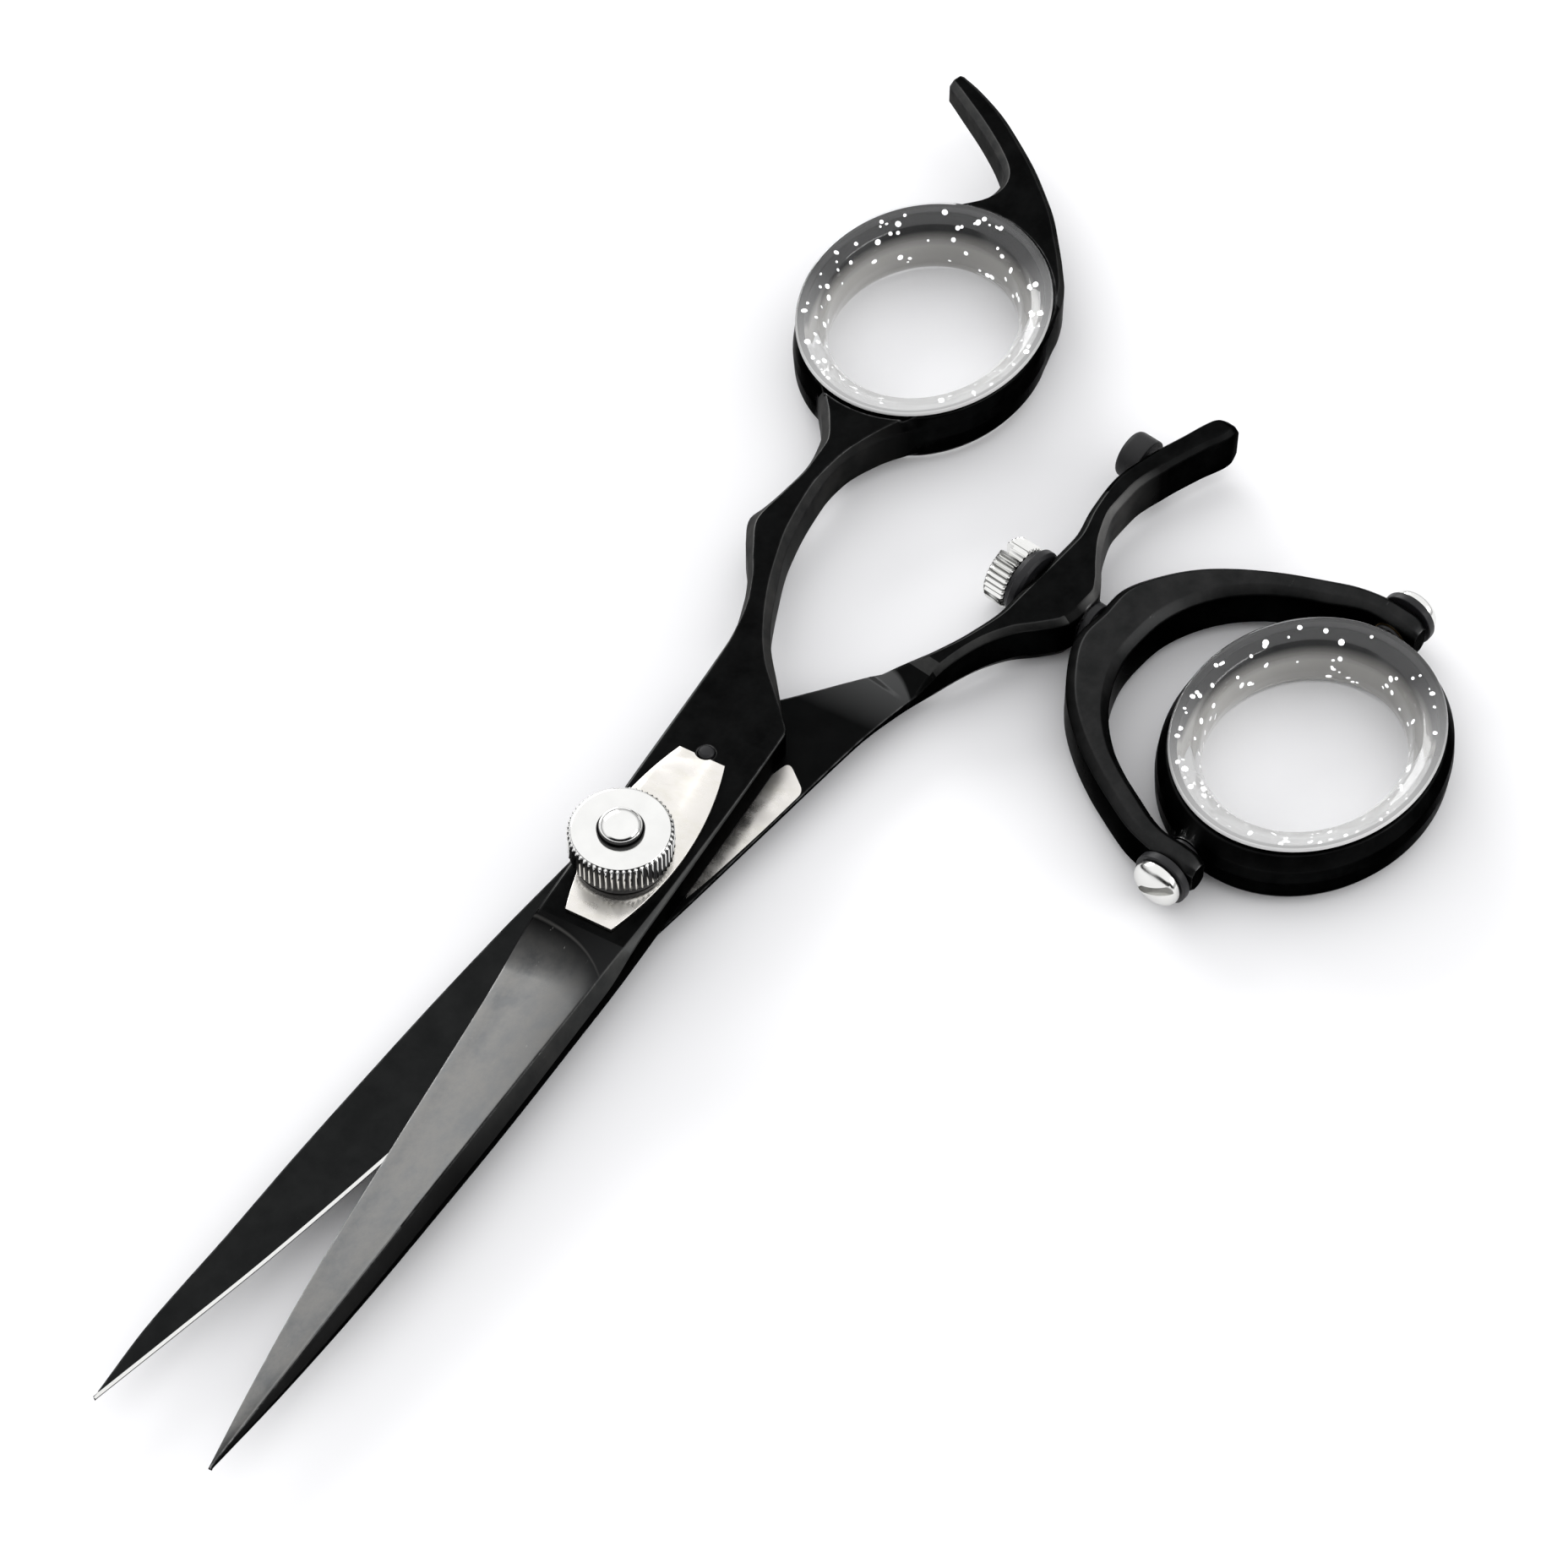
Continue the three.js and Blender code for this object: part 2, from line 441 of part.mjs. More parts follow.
function ringScrew() {
  const seat = ARM_OUT + WASHER_THICK + 2 * FIT;
  const head = turned([[0, 13.15], [FLIP_R, 13.15], [FLIP_R, seat], [2.35, seat], [2.35, seat + 0.5],
    [2.0, seat + 1.0], [1.1, seat + 1.35], [0, seat + 1.45]], 28);
  const slot = new THREE.BoxGeometry(0.9, 1.4, 6).rotateY(SLOT_TURN).translate(0, seat + 1.45, 0);
  return geometryOf(solid(head).subtract(solid(slot)));
}

const ringWasher = () => sleeve(FLIP_R + FIT, 2.7, ARM_OUT + FIT, ARM_OUT + FIT + WASHER_THICK);
const armBushing = () => sleeve(FLIP_R + FIT, ARM_BORE_R - FIT, ARM_IN + 0.05, ARM_OUT - 0.05, 24);
const ringSpacer = () => sleeve(FLIP_R + FIT, 1.6, BOSS_OUT + FIT, ARM_IN - FIT, 24);

function thumbRing() {
  const across = new THREE.Matrix4().makeRotationZ(Math.PI / 2);
  const boss = bore(BOSS_R, 2 * BOSS_OUT).applyMatrix4(across).translate(0, FLIP_Y - THUMB_RING_Y, AXIS_Z);
  const hole = bore(FLIP_R + FIT, 40).applyMatrix4(across).translate(0, FLIP_Y - THUMB_RING_Y, AXIS_Z);
  return ringBody(THUMB_RING_R, THUMB_RING_Z0).add(solid(boss)).subtract(seatCut()).subtract(solid(hole));
}

// ---- Assembly ----
const coated = { color: 0x14161a, roughness: 0.45, metalness: 0.7 };
const polished = { color: 0xd8d8d4, roughness: 0.12, metalness: 1.0 };
const blackPlastic = { color: 0x101010, roughness: 0.6, metalness: 0.0 };
const rubber = { color: 0x17181a, roughness: 0.85, metalness: 0.0 };
const bronze = { color: 0xa07840, roughness: 0.4, metalness: 1.0 };
const clearPlastic = { color: 0xc9cacc, roughness: 0.08, metalness: 0.0, transparent: true, opacity: 0.5 };

const group = new THREE.Group();
const thumbSide = new THREE.Group();
thumbSide.rotation.z = -OPEN_ANGLE;
group.add(thumbSide);

function place(parent, name, shape, finish, position = [0, 0, 0]) {
  const geometry = shape.isBufferGeometry ? shape : geometryOf(shape);
  const mesh = new THREE.Mesh(geometry, new THREE.MeshStandardMaterial(finish));
  mesh.name = name;
  mesh.position.set(...position);
  parent.add(mesh);
}

place(group, "finger_half", fingerHalf(), coated);
place(group, "pivot_bolt", pivotBolt(), polished);
place(group, "leaf_plate", leafPlate(), polished);
place(group, "plate_pin", platePin(), coated, [PIN_X, PLATE_MID_Y, 0]);
place(group, "click_washer", clickWasher(), coated);
place(group, "tension_dial", tensionDial(), polished);
place(group, "finger_insert", insert(), clearPlastic, [FINGER_RING.x, FINGER_RING.y, 0]);

place(thumbSide, "thumb_half", thumbHalf(), coated);
place(thumbSide, "pivot_bushing", pivotBushing(), bronze);
place(thumbSide, "bearing_washer", bearingWasher(), blackPlastic);
place(thumbSide, "hub_bushing", hubBushing(), blackPlastic);

place(thumbSide, "bumper", bumper(), rubber, [BUMPER_X, 0, AXIS_Z]);
place(thumbSide, "bumper_stud", bumperStud(), polished, [BUMPER_X, 0, AXIS_Z]);

place(thumbSide, "yoke", yoke(), coated);
place(thumbSide, "yoke_screw", yokeScrew(), polished);
place(thumbSide, "hub_washer", hubWasher(), blackPlastic);
place(thumbSide, "yoke_spacer", yokeSpacer(), blackPlastic);

place(thumbSide, "thumb_ring", thumbRing(), coated, [YOKE_X, THUMB_RING_Y, 0]);
place(thumbSide, "thumb_insert", insert(), clearPlastic, [YOKE_X, THUMB_RING_Y, 0]);
for (const [word, side] of [["left", -1], ["right", 1]]) {
  place(thumbSide, "arm_bushing_" + word, onFlipAxis(armBushing(), side), bronze);
  place(thumbSide, "ring_screw_" + word, onFlipAxis(ringScrew(), side), polished);
  place(thumbSide, "ring_washer_" + word, onFlipAxis(ringWasher(), side), blackPlastic);
  place(thumbSide, "ring_spacer_" + word, onFlipAxis(ringSpacer(), side), blackPlastic);
}

export default group;
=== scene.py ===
import math
import random

import bmesh
import bpy
import numpy as np
from mathutils import Matrix, Vector
from mathutils.bvhtree import BVHTree
from mathutils.kdtree import KDTree


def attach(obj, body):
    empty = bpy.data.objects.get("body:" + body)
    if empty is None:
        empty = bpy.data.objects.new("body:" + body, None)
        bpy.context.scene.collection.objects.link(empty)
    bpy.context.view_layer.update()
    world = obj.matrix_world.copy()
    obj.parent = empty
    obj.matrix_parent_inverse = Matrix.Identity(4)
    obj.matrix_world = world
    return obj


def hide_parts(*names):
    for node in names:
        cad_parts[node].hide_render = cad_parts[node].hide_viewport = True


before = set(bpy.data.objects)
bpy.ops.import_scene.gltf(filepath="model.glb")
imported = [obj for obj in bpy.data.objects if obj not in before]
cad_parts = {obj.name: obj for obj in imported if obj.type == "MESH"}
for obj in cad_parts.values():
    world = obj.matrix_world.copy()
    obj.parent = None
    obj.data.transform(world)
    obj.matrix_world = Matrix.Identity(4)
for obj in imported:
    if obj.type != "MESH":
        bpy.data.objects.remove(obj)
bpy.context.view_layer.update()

# ---- Driving dimensions, in millimetres, in the model's own frame ----
MM = 0.001
OPEN_ANGLE = math.radians(10.23)
TIP_X = 67.2
INNER_UPPER = 3.5
INNER_LOWER = 3.4
HALF_THICK = 3.3
HALF_TOP = INNER_UPPER + HALF_THICK
SHANK_DROP = 2.6
BLADE_HEEL_X = 8.6
HEEL_SWEEP = 3.2  # how much further out the hollow-ground face starts at the ridge than at the edge
RUNOUT = 5.0
HOLLOW = 0.225  # the hollow is at its deepest a quarter of this share of the thickness
BLADE_TOP = 0.15
BLOCK_END_X = -19.0
HONED = 0.32  # width of the bright honed strip along a cutting edge
BOLT_R = 2.3
BOLT_HEAD_R = 4.1
BOLT_HEAD_Z = 1.3
BOLT_END_R = 1.95
BOLT_TOP_Z = 12.6
BEARING_R = 4.2
BEARING_Z0 = 3.0
BEARING_Z1 = 3.95
BUSHING_R = 3.05
DIAL_R = 4.75
DIAL_Z0 = 8.1
DIAL_Z1 = 11.35
DIAL_TEETH = 54
DIAL_FLUTE = 0.22
PLATE_Z0 = 6.85
PLATE_Z1 = 7.25
PLATE_MID_Y = 0.85
PIN_X = -13.5
PIN_R = 0.75
PIN_Z0 = 5.2
OVAL = 0.85  # breadth of a finger opening over its length
FINGER_RING_R = 14.05
THUMB_RING_R = 14.85
SEAT_R = 13.1
LIP_R = 14.1
RING_Z0 = 0.6
RING_Z1 = 6.5
FINGER_RING = (-68.95, -6.85)
AXIS_Z = 3.55
YOKE_X = -49.0
HUB_Y0 = 8.35
HUB_Y1 = 14.35
YOKE_Y0 = 15.3
YOKE_BORE_R = 1.35
HUB_BORE_R = 2.1
SWIVEL_R = 1.25
SCREW_HEAD_R = 3.25
SCREW_HEAD_Y0 = 4.3
SCREW_HEAD_LONG = 2.35
SCREW_TEETH = 32
SCREW_SLOT = 0.5
FLIP_Y = 36.7
THUMB_RING_Y = 38.6
ARM_IN = 15.7
ARM_OUT = 18.2
WASHER_THICK = 0.8
ARM_BORE_R = 1.75
FLIP_R = 1.0
BOSS_OUT = 15.2
BOSS_R = 1.7
RING_SCREW_R = 2.35
RING_SCREW_END = 13.15
RING_SCREW_CHEEK = 0.45
RING_SCREW_DOME = 1.0
RING_SCREW_SLOT = 0.45
SLOT_TURN = -1.02
BUMPER_X = -67.2
BUMPER_Y0 = 5.0
BUMPER_R = 2.35
STUD_R = 0.8
FIT = 0.1
GAP = 0.3

ON_THUMB = Matrix.Rotation(-OPEN_ANGLE, 4, "Z")  # from the thumb half's own axes to the open shears
FRONT = (0.874, 0.486, 0.0)  # from the shears towards the camera, along the floor
FLAT = Matrix.Identity(4)


# ---- Mesh making: everything is made in millimetres and scaled once at the end ----
def mesh_of(verts, faces, name="shape"):
    me = bpy.data.meshes.new(name)
    me.from_pydata([tuple(v) for v in verts], [], faces)
    me.update()
    return me


def outward(me):
    bm = bmesh.new()
    bm.from_mesh(me)
    bmesh.ops.remove_doubles(bm, verts=bm.verts, dist=1e-5)
    bmesh.ops.recalc_face_normals(bm, faces=bm.faces)
    bm.to_mesh(me)
    bm.free()
    return me


def along(points):
    """A value that follows listed points along x without overshoot (monotone cubic)."""
    p = sorted(points)
    xs = np.array([q[0] for q in p], float)
    ys = np.array([q[1] for q in p], float)
    secant = np.diff(ys) / np.diff(xs)
    slope = np.zeros(len(p))
    for i in range(len(p)):
        a, b = secant[max(i - 1, 0)], secant[min(i, len(secant) - 1)]
        slope[i] = 0 if a * b <= 0 else 2 * a * b / (a + b)

    def value(x):
        x = min(max(x, xs[0]), xs[-1])
        i = min(int(np.searchsorted(xs, x, side="right")) - 1, len(xs) - 2)
        w = xs[i + 1] - xs[i]
        t = (x - xs[i]) / w
        return float((1 + 2 * t) * (1 - t) ** 2 * ys[i] + t * (1 - t) ** 2 * w * slope[i]
                     + t * t * (3 - 2 * t) * ys[i + 1] + t * t * (t - 1) * w * slope[i + 1])
    return value


def smoothstep(x, lo, hi):
    t = min(max((x - lo) / (hi - lo), 0.0), 1.0)
    return t * t * (3 - 2 * t)


def rounded(points, radii, steps=4, closed=True):
    """The outline with each corner of radius > 0 replaced by a short curve of steps + 1 points."""
    P = [np.array(p, float) for p in points]
    out = []
    n = len(P)
    for i in range(n):
        r = radii[i] if hasattr(radii, "__len__") else radii
        b = P[i]
        if r <= 0 or (not closed and i in (0, n - 1)):
            out.append(b)
            continue
        a, c = P[i - 1], P[(i + 1) % n]
        u, v = a - b, c - b
        lu, lv = np.linalg.norm(u), np.linalg.norm(v)
        if lu < 1e-6 or lv < 1e-6:
            out.extend([b] * (steps + 1))
            continue
        u, v = u / lu, v / lv
        half = math.acos(max(-1, min(1, float(u @ v)))) / 2
        t = min(r / max(math.tan(half), 1e-3), 0.45 * lu, 0.45 * lv)
        for k in range(steps + 1):
            s = k / steps
            out.append((1 - s) ** 2 * (b + u * t) + 2 * s * (1 - s) * b + s * s * (b + v * t))
    return out


def loft(sections, name="loft"):
    """A closed skin through sections that all have the same number of points."""
    n = len(sections[0])
    verts = [tuple(p) for s in sections for p in s]
    faces = []
    for i in range(len(sections) - 1):
        for j in range(n):
            k = (j + 1) % n
            faces.append((i * n + j, i * n + k, (i + 1) * n + k, (i + 1) * n + j))
    faces.append(tuple(range(n)))
    last = (len(sections) - 1) * n
    faces.append(tuple(range(last + n - 1, last - 1, -1)))
    return outward(mesh_of(verts, faces, name))


def slab(outline, z0, z1, name):
    return loft([[(x, y, z) for x, y in outline] for z in (z0, z1)], name)


def turned(profile, segments=96, name="turned"):
    """A body of revolution about Z from (radius, z) pairs; a point on the axis closes it."""
    verts, rows = [], []
    for r, z in profile:
        if r < 1e-6:
            rows.append([len(verts)] * segments)
            verts.append((0, 0, z))
        else:
            rows.append(list(range(len(verts), len(verts) + segments)))
            verts += [(r * math.cos(2 * math.pi * k / segments), r * math.sin(2 * math.pi * k / segments), z)
                      for k in range(segments)]
    faces = []
    on_axis = profile[0][0] < 1e-6 or profile[-1][0] < 1e-6
    spans = len(rows) - 1 if on_axis else len(rows)
    for i in range(spans):
        a, b = rows[i], rows[(i + 1) % len(rows)]
        for k in range(segments):
            m = (k + 1) % segments
            f = [a[k], a[m], b[m], b[k]]
            f = [v for j, v in enumerate(f) if v != f[j - 1]]
            if len(f) > 2:
                faces.append(tuple(f))
    return outward(mesh_of(verts, faces, name))


def moved(me, matrix):
    me.transform(matrix)
    return me


def shift(x, y, z):
    return Matrix.Translation((x, y, z))


def scaled(x, y, z):
    return Matrix.Diagonal((x, y, z, 1))


TO_Y = Matrix.Rotation(-math.pi / 2, 4, "X")  # a body turned about Z laid along +Y
TO_X = Matrix.Rotation(math.pi / 2, 4, "Y")


def rod(r, z0, z1, segments=64):
    return turned([(0, z0), (r, z0), (r, z1), (0, z1)], segments, "rod")


def collar(r_in, r_out, z0, z1, r=0.08, segments=64):
    """A flat ring about Z with softened edges."""
    return turned(rounded([(r_in, z0), (r_out, z0), (r_out, z1), (r_in, z1)], r, 3), segments)


def box(half_x, y0, y1, half_z):
    verts = [(x, y, z) for x in (-half_x, half_x) for y in (y0, y1) for z in (-half_z, half_z)]
    return outward(mesh_of(verts, [(0, 1, 3, 2), (4, 6, 7, 5), (0, 4, 5, 1), (2, 3, 7, 6), (0, 2, 6, 4),
                                   (1, 5, 7, 3)]))


def joined(me, others, operation):
    """Union with or difference from other meshes, solved exactly."""
    scene = bpy.context.scene
    o = bpy.data.objects.new("work", me)
    scene.collection.objects.link(o)
    tools = []
    for other in others:
        t = bpy.data.objects.new("tool", other)
        scene.collection.objects.link(t)
        tools.append(t)
        m = o.modifiers.new("b", "BOOLEAN")
        m.operation = operation
        m.solver = "EXACT"
        m.object = t
    dg = bpy.context.evaluated_depsgraph_get()
    made = bpy.data.meshes.new_from_object(o.evaluated_get(dg))
    for x in [o] + tools:
        bpy.data.objects.remove(x)
    return made


def cut(me, *others):
    return joined(me, others, "DIFFERENCE")


def fused(me, *others):
    return joined(me, others, "UNION")


def melt(me, parts, width, rounds):
    """Softens the mesh along the seams between the parts that were fused into it."""
    trees = [BVHTree.FromPolygons([v.co for v in p.vertices], [f.vertices for f in p.polygons])
             for p in parts]
    owner = []
    for f in me.polygons:
        d = [t.find_nearest(f.center)[3] for t in trees]
        owner.append(d.index(min(d)))
    first = {}
    seam = set()
    for f, k in zip(me.polygons, owner):
        for v in f.vertices:
            if first.setdefault(v, k) != k:
                seam.add(v)
    tree = KDTree(len(seam))
    for i, v in enumerate(sorted(seam)):
        tree.insert(me.vertices[v].co, i)
    tree.balance()
    co = np.array([v.co for v in me.vertices])
    weight = np.array([1 - smoothstep(tree.find(v.co)[2], width * 0.3, width) for v in me.vertices])
    edges = np.array([e.vertices[:] for e in me.edges])
    count = np.zeros(len(co))
    np.add.at(count, edges[:, 0], 1)
    np.add.at(count, edges[:, 1], 1)
    for _ in range(rounds):
        total = np.zeros_like(co)
        np.add.at(total, edges[:, 0], co[edges[:, 1]])
        np.add.at(total, edges[:, 1], co[edges[:, 0]])
        mean = total / np.maximum(count, 1)[:, None]
        co += (mean - co) * (0.5 * weight)[:, None]
    me.vertices.foreach_set("co", co.ravel())
    me.update()
    return me


def piece(me, name, body, node, slot, look, place=FLAT, sharp=32, bevel=0.0, choose=None):
    """The finished mesh as a piece that rides on its body and stands for a CAD node.

    look is its material, or a list from which choose(centre in mm, normal) returns the one for a face."""
    materials = look if isinstance(look, list) else [look]
    kind = [materials.index(choose(p.center, p.normal)) if choose else 0 for p in me.polygons]
    me.transform(Matrix.Scale(MM, 4) @ place)
    me.name = name
    me.materials.clear()
    for m in materials:
        me.materials.append(m)
    for p, k in zip(me.polygons, kind):
        p.use_smooth = True
        p.material_index = k
    o = bpy.data.objects.new(name, me)
    bpy.context.scene.collection.objects.link(o)
    if bevel:
        b = o.modifiers.new("edges", "BEVEL")
        b.width = bevel * MM
        b.segments = 3
        b.limit_method = "ANGLE"
        b.angle_limit = math.radians(40)
        b.harden_normals = False
        dg = bpy.context.evaluated_depsgraph_get()
        done = bpy.data.meshes.new_from_object(o.evaluated_get(dg))
        o.modifiers.clear()
        o.data = done
        done.name = name
    o.data.set_sharp_from_angle(angle=math.radians(sharp))
    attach(o, body)
    if node:
        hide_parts(*([node] if isinstance(node, str) else node))
    return o


# ---- The two forged halves: y runs towards the spine, z away from the inner face ----
BLADE_HEIGHT = [(TIP_X, 0.5), (58, 1.15), (45, 1.95), (30, 2.6), (12, 3.2), (8, HALF_THICK)]

FINGER_SHAPE = dict(
    edge=along([(TIP_X, -0.12), (58, -1.3), (48, -2.3), (35, -3.1), (18, -4.0), (6.4, -4.7), (-10, -4.6),
                (-20, -4.3), (-27, -4.4), (-31, -5.2), (-34.3, -6.6), (-37.3, -8.5), (-39.9, -9.5),
                (-41.5, -9.0), (-44, -8.4), (-48, -7.8), (-51, -8.2), (-54, -9.8), (-57.5, -12.6),
                (-60.5, -15.2)]),
    edge_top=along([(8.6, -3.7), (-25, -3.6), (-28, -3.9), (-30, -4.3), (-33, -5.4), (-36, -7.0),
                    (-39.3, -8.3), (-43, -7.7), (-47, -7.1), (-50, -7.1), (-53, -8.4), (-57.5, -12),
                    (-60.5, -14.6)]),
    spine=along([(TIP_X, 0.12), (58, 1.55), (48, 2.75), (38, 3.65), (28, 4.45), (18, 5.05), (8, 5.55),
                 (-18.7, 5.95), (-20.5, 4.75), (-24, 2.2), (-27.2, -0.2), (-30, -1.7), (-33.2, -2.95),
                 (-38.7, -4.65), (-43.7, -5.3), (-46.7, -5.4), (-49.7, -5.0), (-53.7, -3.2), (-57.5, -0.2),
                 (-60.5, 1.8)]),
    ridge=along([(TIP_X, 0.03), (58, 0.9), (49, 1.65), (29.5, 3.2), (20, 3.95), (10, 4.75), (0, 5.4),
                 (-18.7, 5.9), (-20.5, 4.6), (-22, 3.2), (-25, 0.4), (-28, -1.5), (-33, -3.7), (-36, -4.6),
                 (-40, -5.5), (-45, -5.85), (-49, -5.3), (-52, -4.3), (-57.5, -1.5), (-60.5, 0.5)]),
    height=along(BLADE_HEIGHT + [(-57.5, HALF_THICK)]),
    inner=along([(-26.5, 0), (-31.5, 0.3 - SHANK_DROP), (-57.5, 0.3 - SHANK_DROP)]),
    under=along([(-25.5, 0), (-31, 0.7), (-57.5, 0.8)]),
    spine_wall=along([(TIP_X, 0.25), (45, 0.8), (12, 1.6), (6, 2.9), (-19, 3.1), (-26, 2.5), (-57.5, 2.0)]),
    edge_wall=along([(9, 0.4), (-25, 0.5), (-32, 1.6), (-57.5, 1.9)]),
)

THUMB_SHAPE = dict(
    edge=along([(TIP_X, -0.12), (58, -1.15), (48, -2.2), (35, -3.15), (18, -4.1), (8, -4.9), (2, -6.0),
                (-10, -6.3), (-24, -6.6), (-30, -7.1), (-34.6, -7.9), (-39.3, -9.3), (-42.3, -10.9),
                (-44.3, -12.7), (-46.2, -14.1), (-47.6, -HUB_Y1), (-50, -HUB_Y1), (-51.4, -13.7),
                (-53.2, -12.4), (-56, -10.7), (-59, -9.7), (-62, -9.6), (-66, -10.4), (-70, -11.6),
                (-73.2, -12.65), (-74.1, -12.6), (-74.4, -12.2)]),
    edge_top=along([(8.6, -4.0), (-5, -4.8), (-24, -5.1), (-30, -5.9), (-35, -7.2), (-39.3, -8.5),
                    (-42.3, -10.1), (-44.6, -12.2), (-46.6, -13.5), (-51, -13.3), (-53, -11.6),
                    (-56, -10.0), (-59, -9.1), (-62, -9.0), (-66, -9.7), (-70, -10.9), (-73.2, -12.0),
                    (-74.1, -12.1), (-74.4, -11.9)]),
    spine=along([(TIP_X, 0.12), (59, 1.43), (49, 2.2), (39, 3.1), (29, 3.8), (19, 4.4), (8.7, 4.8),
                 (-15, 5.1), (-18.5, 4.9), (-21, 4.0), (-24.1, 1.9), (-27, 0), (-30, -1.9), (-33, -3.9),
                 (-36, -6.0), (-40, -7.6), (-44, -HUB_Y0), (-54.2, -HUB_Y0), (-58, -7.6), (-62, -7.2),
                 (-66, -7.9), (-70, -9.1), (-73.2, -10.1), (-74.1, -10.7), (-74.4, -11.1)]),
    ridge=along([(TIP_X, 0.03), (58, 0.8), (49, 1.4), (30, 2.6), (20, 3.3), (10, 4.0), (0, 4.4),
                 (-15, 4.6), (-19, 4.2), (-21.5, 3.0), (-24.1, 1.1), (-27, -0.7), (-30, -2.5), (-33, -4.5),
                 (-36, -6.5), (-40, -8.1), (-44, -8.9), (-54, -8.9), (-58, -8.1), (-62, -7.8),
                 (-66, -8.5), (-70, -9.7), (-73.2, -10.7), (-74.1, -11.1), (-74.4, -11.4)]),
    height=along(BLADE_HEIGHT[:-1] + [(8, HALF_THICK - 0.1), (-20, HALF_THICK - 0.1), (-44, 2.7), (-55, 2.7),
                                      (-62, 2.5), (-73.2, 2.4), (-74.1, 1.8), (-74.4, 1.2)]),
    inner=along([(-32.2, 0), (-35.5, -1.9), (-40, -2.6), (-47, -SHANK_DROP - 0.3), (-52, -SHANK_DROP - 0.3),
                 (-60, -3.2), (-73.2, -3.4), (-74.1, -2.8), (-74.4, -2.1)]),
    under=along([(-31.5, 0), (-35, 0.5), (-54, 0.7), (-60, 0.55), (-74.1, 0.5), (-74.4, 0.3)]),
    spine_wall=along([(TIP_X, 0.25), (45, 0.8), (12, 1.6), (6, 2.4), (-73.2, 1.4), (-74.4, 0.4)]),
    edge_wall=along([(9, 0.4), (-25, 0.5), (-35, 1.4), (-73.2, 1.4), (-74.4, 0.4)]),
)

ACROSS = [0.125 * k for k in range(1, 9)]


def run_out(x, heel):
    """Share of the full depth that the hollow-ground face has reached at x."""
    return 1 - (1 - min(max((x - heel) / RUNOUT, 0.0), 1.0)) ** 2


def half_section(f, x):
    """One rounded outline of a half at x: eight points follow the hollow-ground face."""
    h, z0, under = f["height"](x), f["inner"](x), f["under"](x)
    edge, spine, ridge, edge_top = f["edge"](x), f["spine"](x), f["ridge"](x), f["edge_top"](x)
    face = []
    for t in ACROSS:
        ground = run_out(x, BLADE_HEEL_X + HEEL_SWEEP * (1 - t) ** 3)
        hollow = h + (BLADE_TOP - h) * t - HOLLOW * h * t * (1 - t)
        face.append((ridge + (edge_top + (edge - edge_top) * ground - ridge) * t, h + (hollow - h) * ground))
    ground = run_out(x, BLADE_HEEL_X)
    edge_wall = f["edge_wall"](x) + (BLADE_TOP / 2 - f["edge_wall"](x)) * ground
    inside = edge + under
    pts = [(inside, z0), (inside + HONED, z0), (spine - under, z0), (spine, z0 + under),
           (spine, f["spine_wall"](x)), (ridge, h)] + face + [(edge, edge_wall), (edge, z0 + under)]
    soft = 1 - ground
    # a rounded corner keeps a radius above zero everywhere, so that all sections have as many points
    radii = [0.03 + 0.5 * min(under, 1), 0, 0.1 + 0.5 * min(under, 1), 0.15 + 0.5 * min(under, 1), 0.3, 0.22]
    radii += [0] * (len(ACROSS) - 1) + [0.02 + 0.5 * soft, 0.02 + 0.25 * soft, 0.02 + 0.5 * min(under, 1)]
    return rounded(pts, radii, 3)


def spread(*spans):
    xs = []
    for a, b, step in spans:
        n = max(1, round(abs(b - a) / step))
        xs += [a + (b - a) * i / n for i in range(n)]
    return xs + [spans[-1][1]]


def half(f, xs, place):
    return loft([[place(x, y, z) for y, z in half_section(f, x)] for x in xs], "half")


def rail_section(p, q, z_low, z_high, corner=0.9, r=0.3):
    a, b = np.array(p, float), np.array(q, float)
    thick = float(np.linalg.norm(b - a))
    c = min(corner, thick * 0.28, (z_high - z_low) * 0.3)
    pts = [(0, z_low + c), (c, z_low), (thick - c, z_low), (thick, z_low + c), (thick, z_high - c),
           (thick - c, z_high), (c, z_high), (0, z_high - c)]
    return [tuple(a + (b - a) * d / thick) + (z,) for d, z in rounded(pts, r, 3)]


def rails(stations, count):
    """Smoothly interpolated (inner point, outer point, more numbers...) stations."""
    rows = np.array([[*s[0], *s[1], *s[2:]] for s in stations], float)
    k = np.concatenate([[0], np.cumsum(np.linalg.norm(np.diff(rows[:, :4], axis=0), axis=1))])
    out = []
    for u in np.linspace(0, k[-1], count):
        i = min(int(np.searchsorted(k, u, side="right")) - 1, len(k) - 2)
        t = (u - k[i]) / (k[i + 1] - k[i])
        p0, p1, p2, p3 = rows[max(i - 1, 0)], rows[i], rows[i + 1], rows[min(i + 2, len(rows) - 1)]
        out.append(0.5 * (2 * p1 + (p2 - p0) * t + (2 * p0 - 5 * p1 + 4 * p2 - p3) * t * t
                          + (3 * p1 - p0 - 3 * p2 + p3) * t ** 3))
    return out


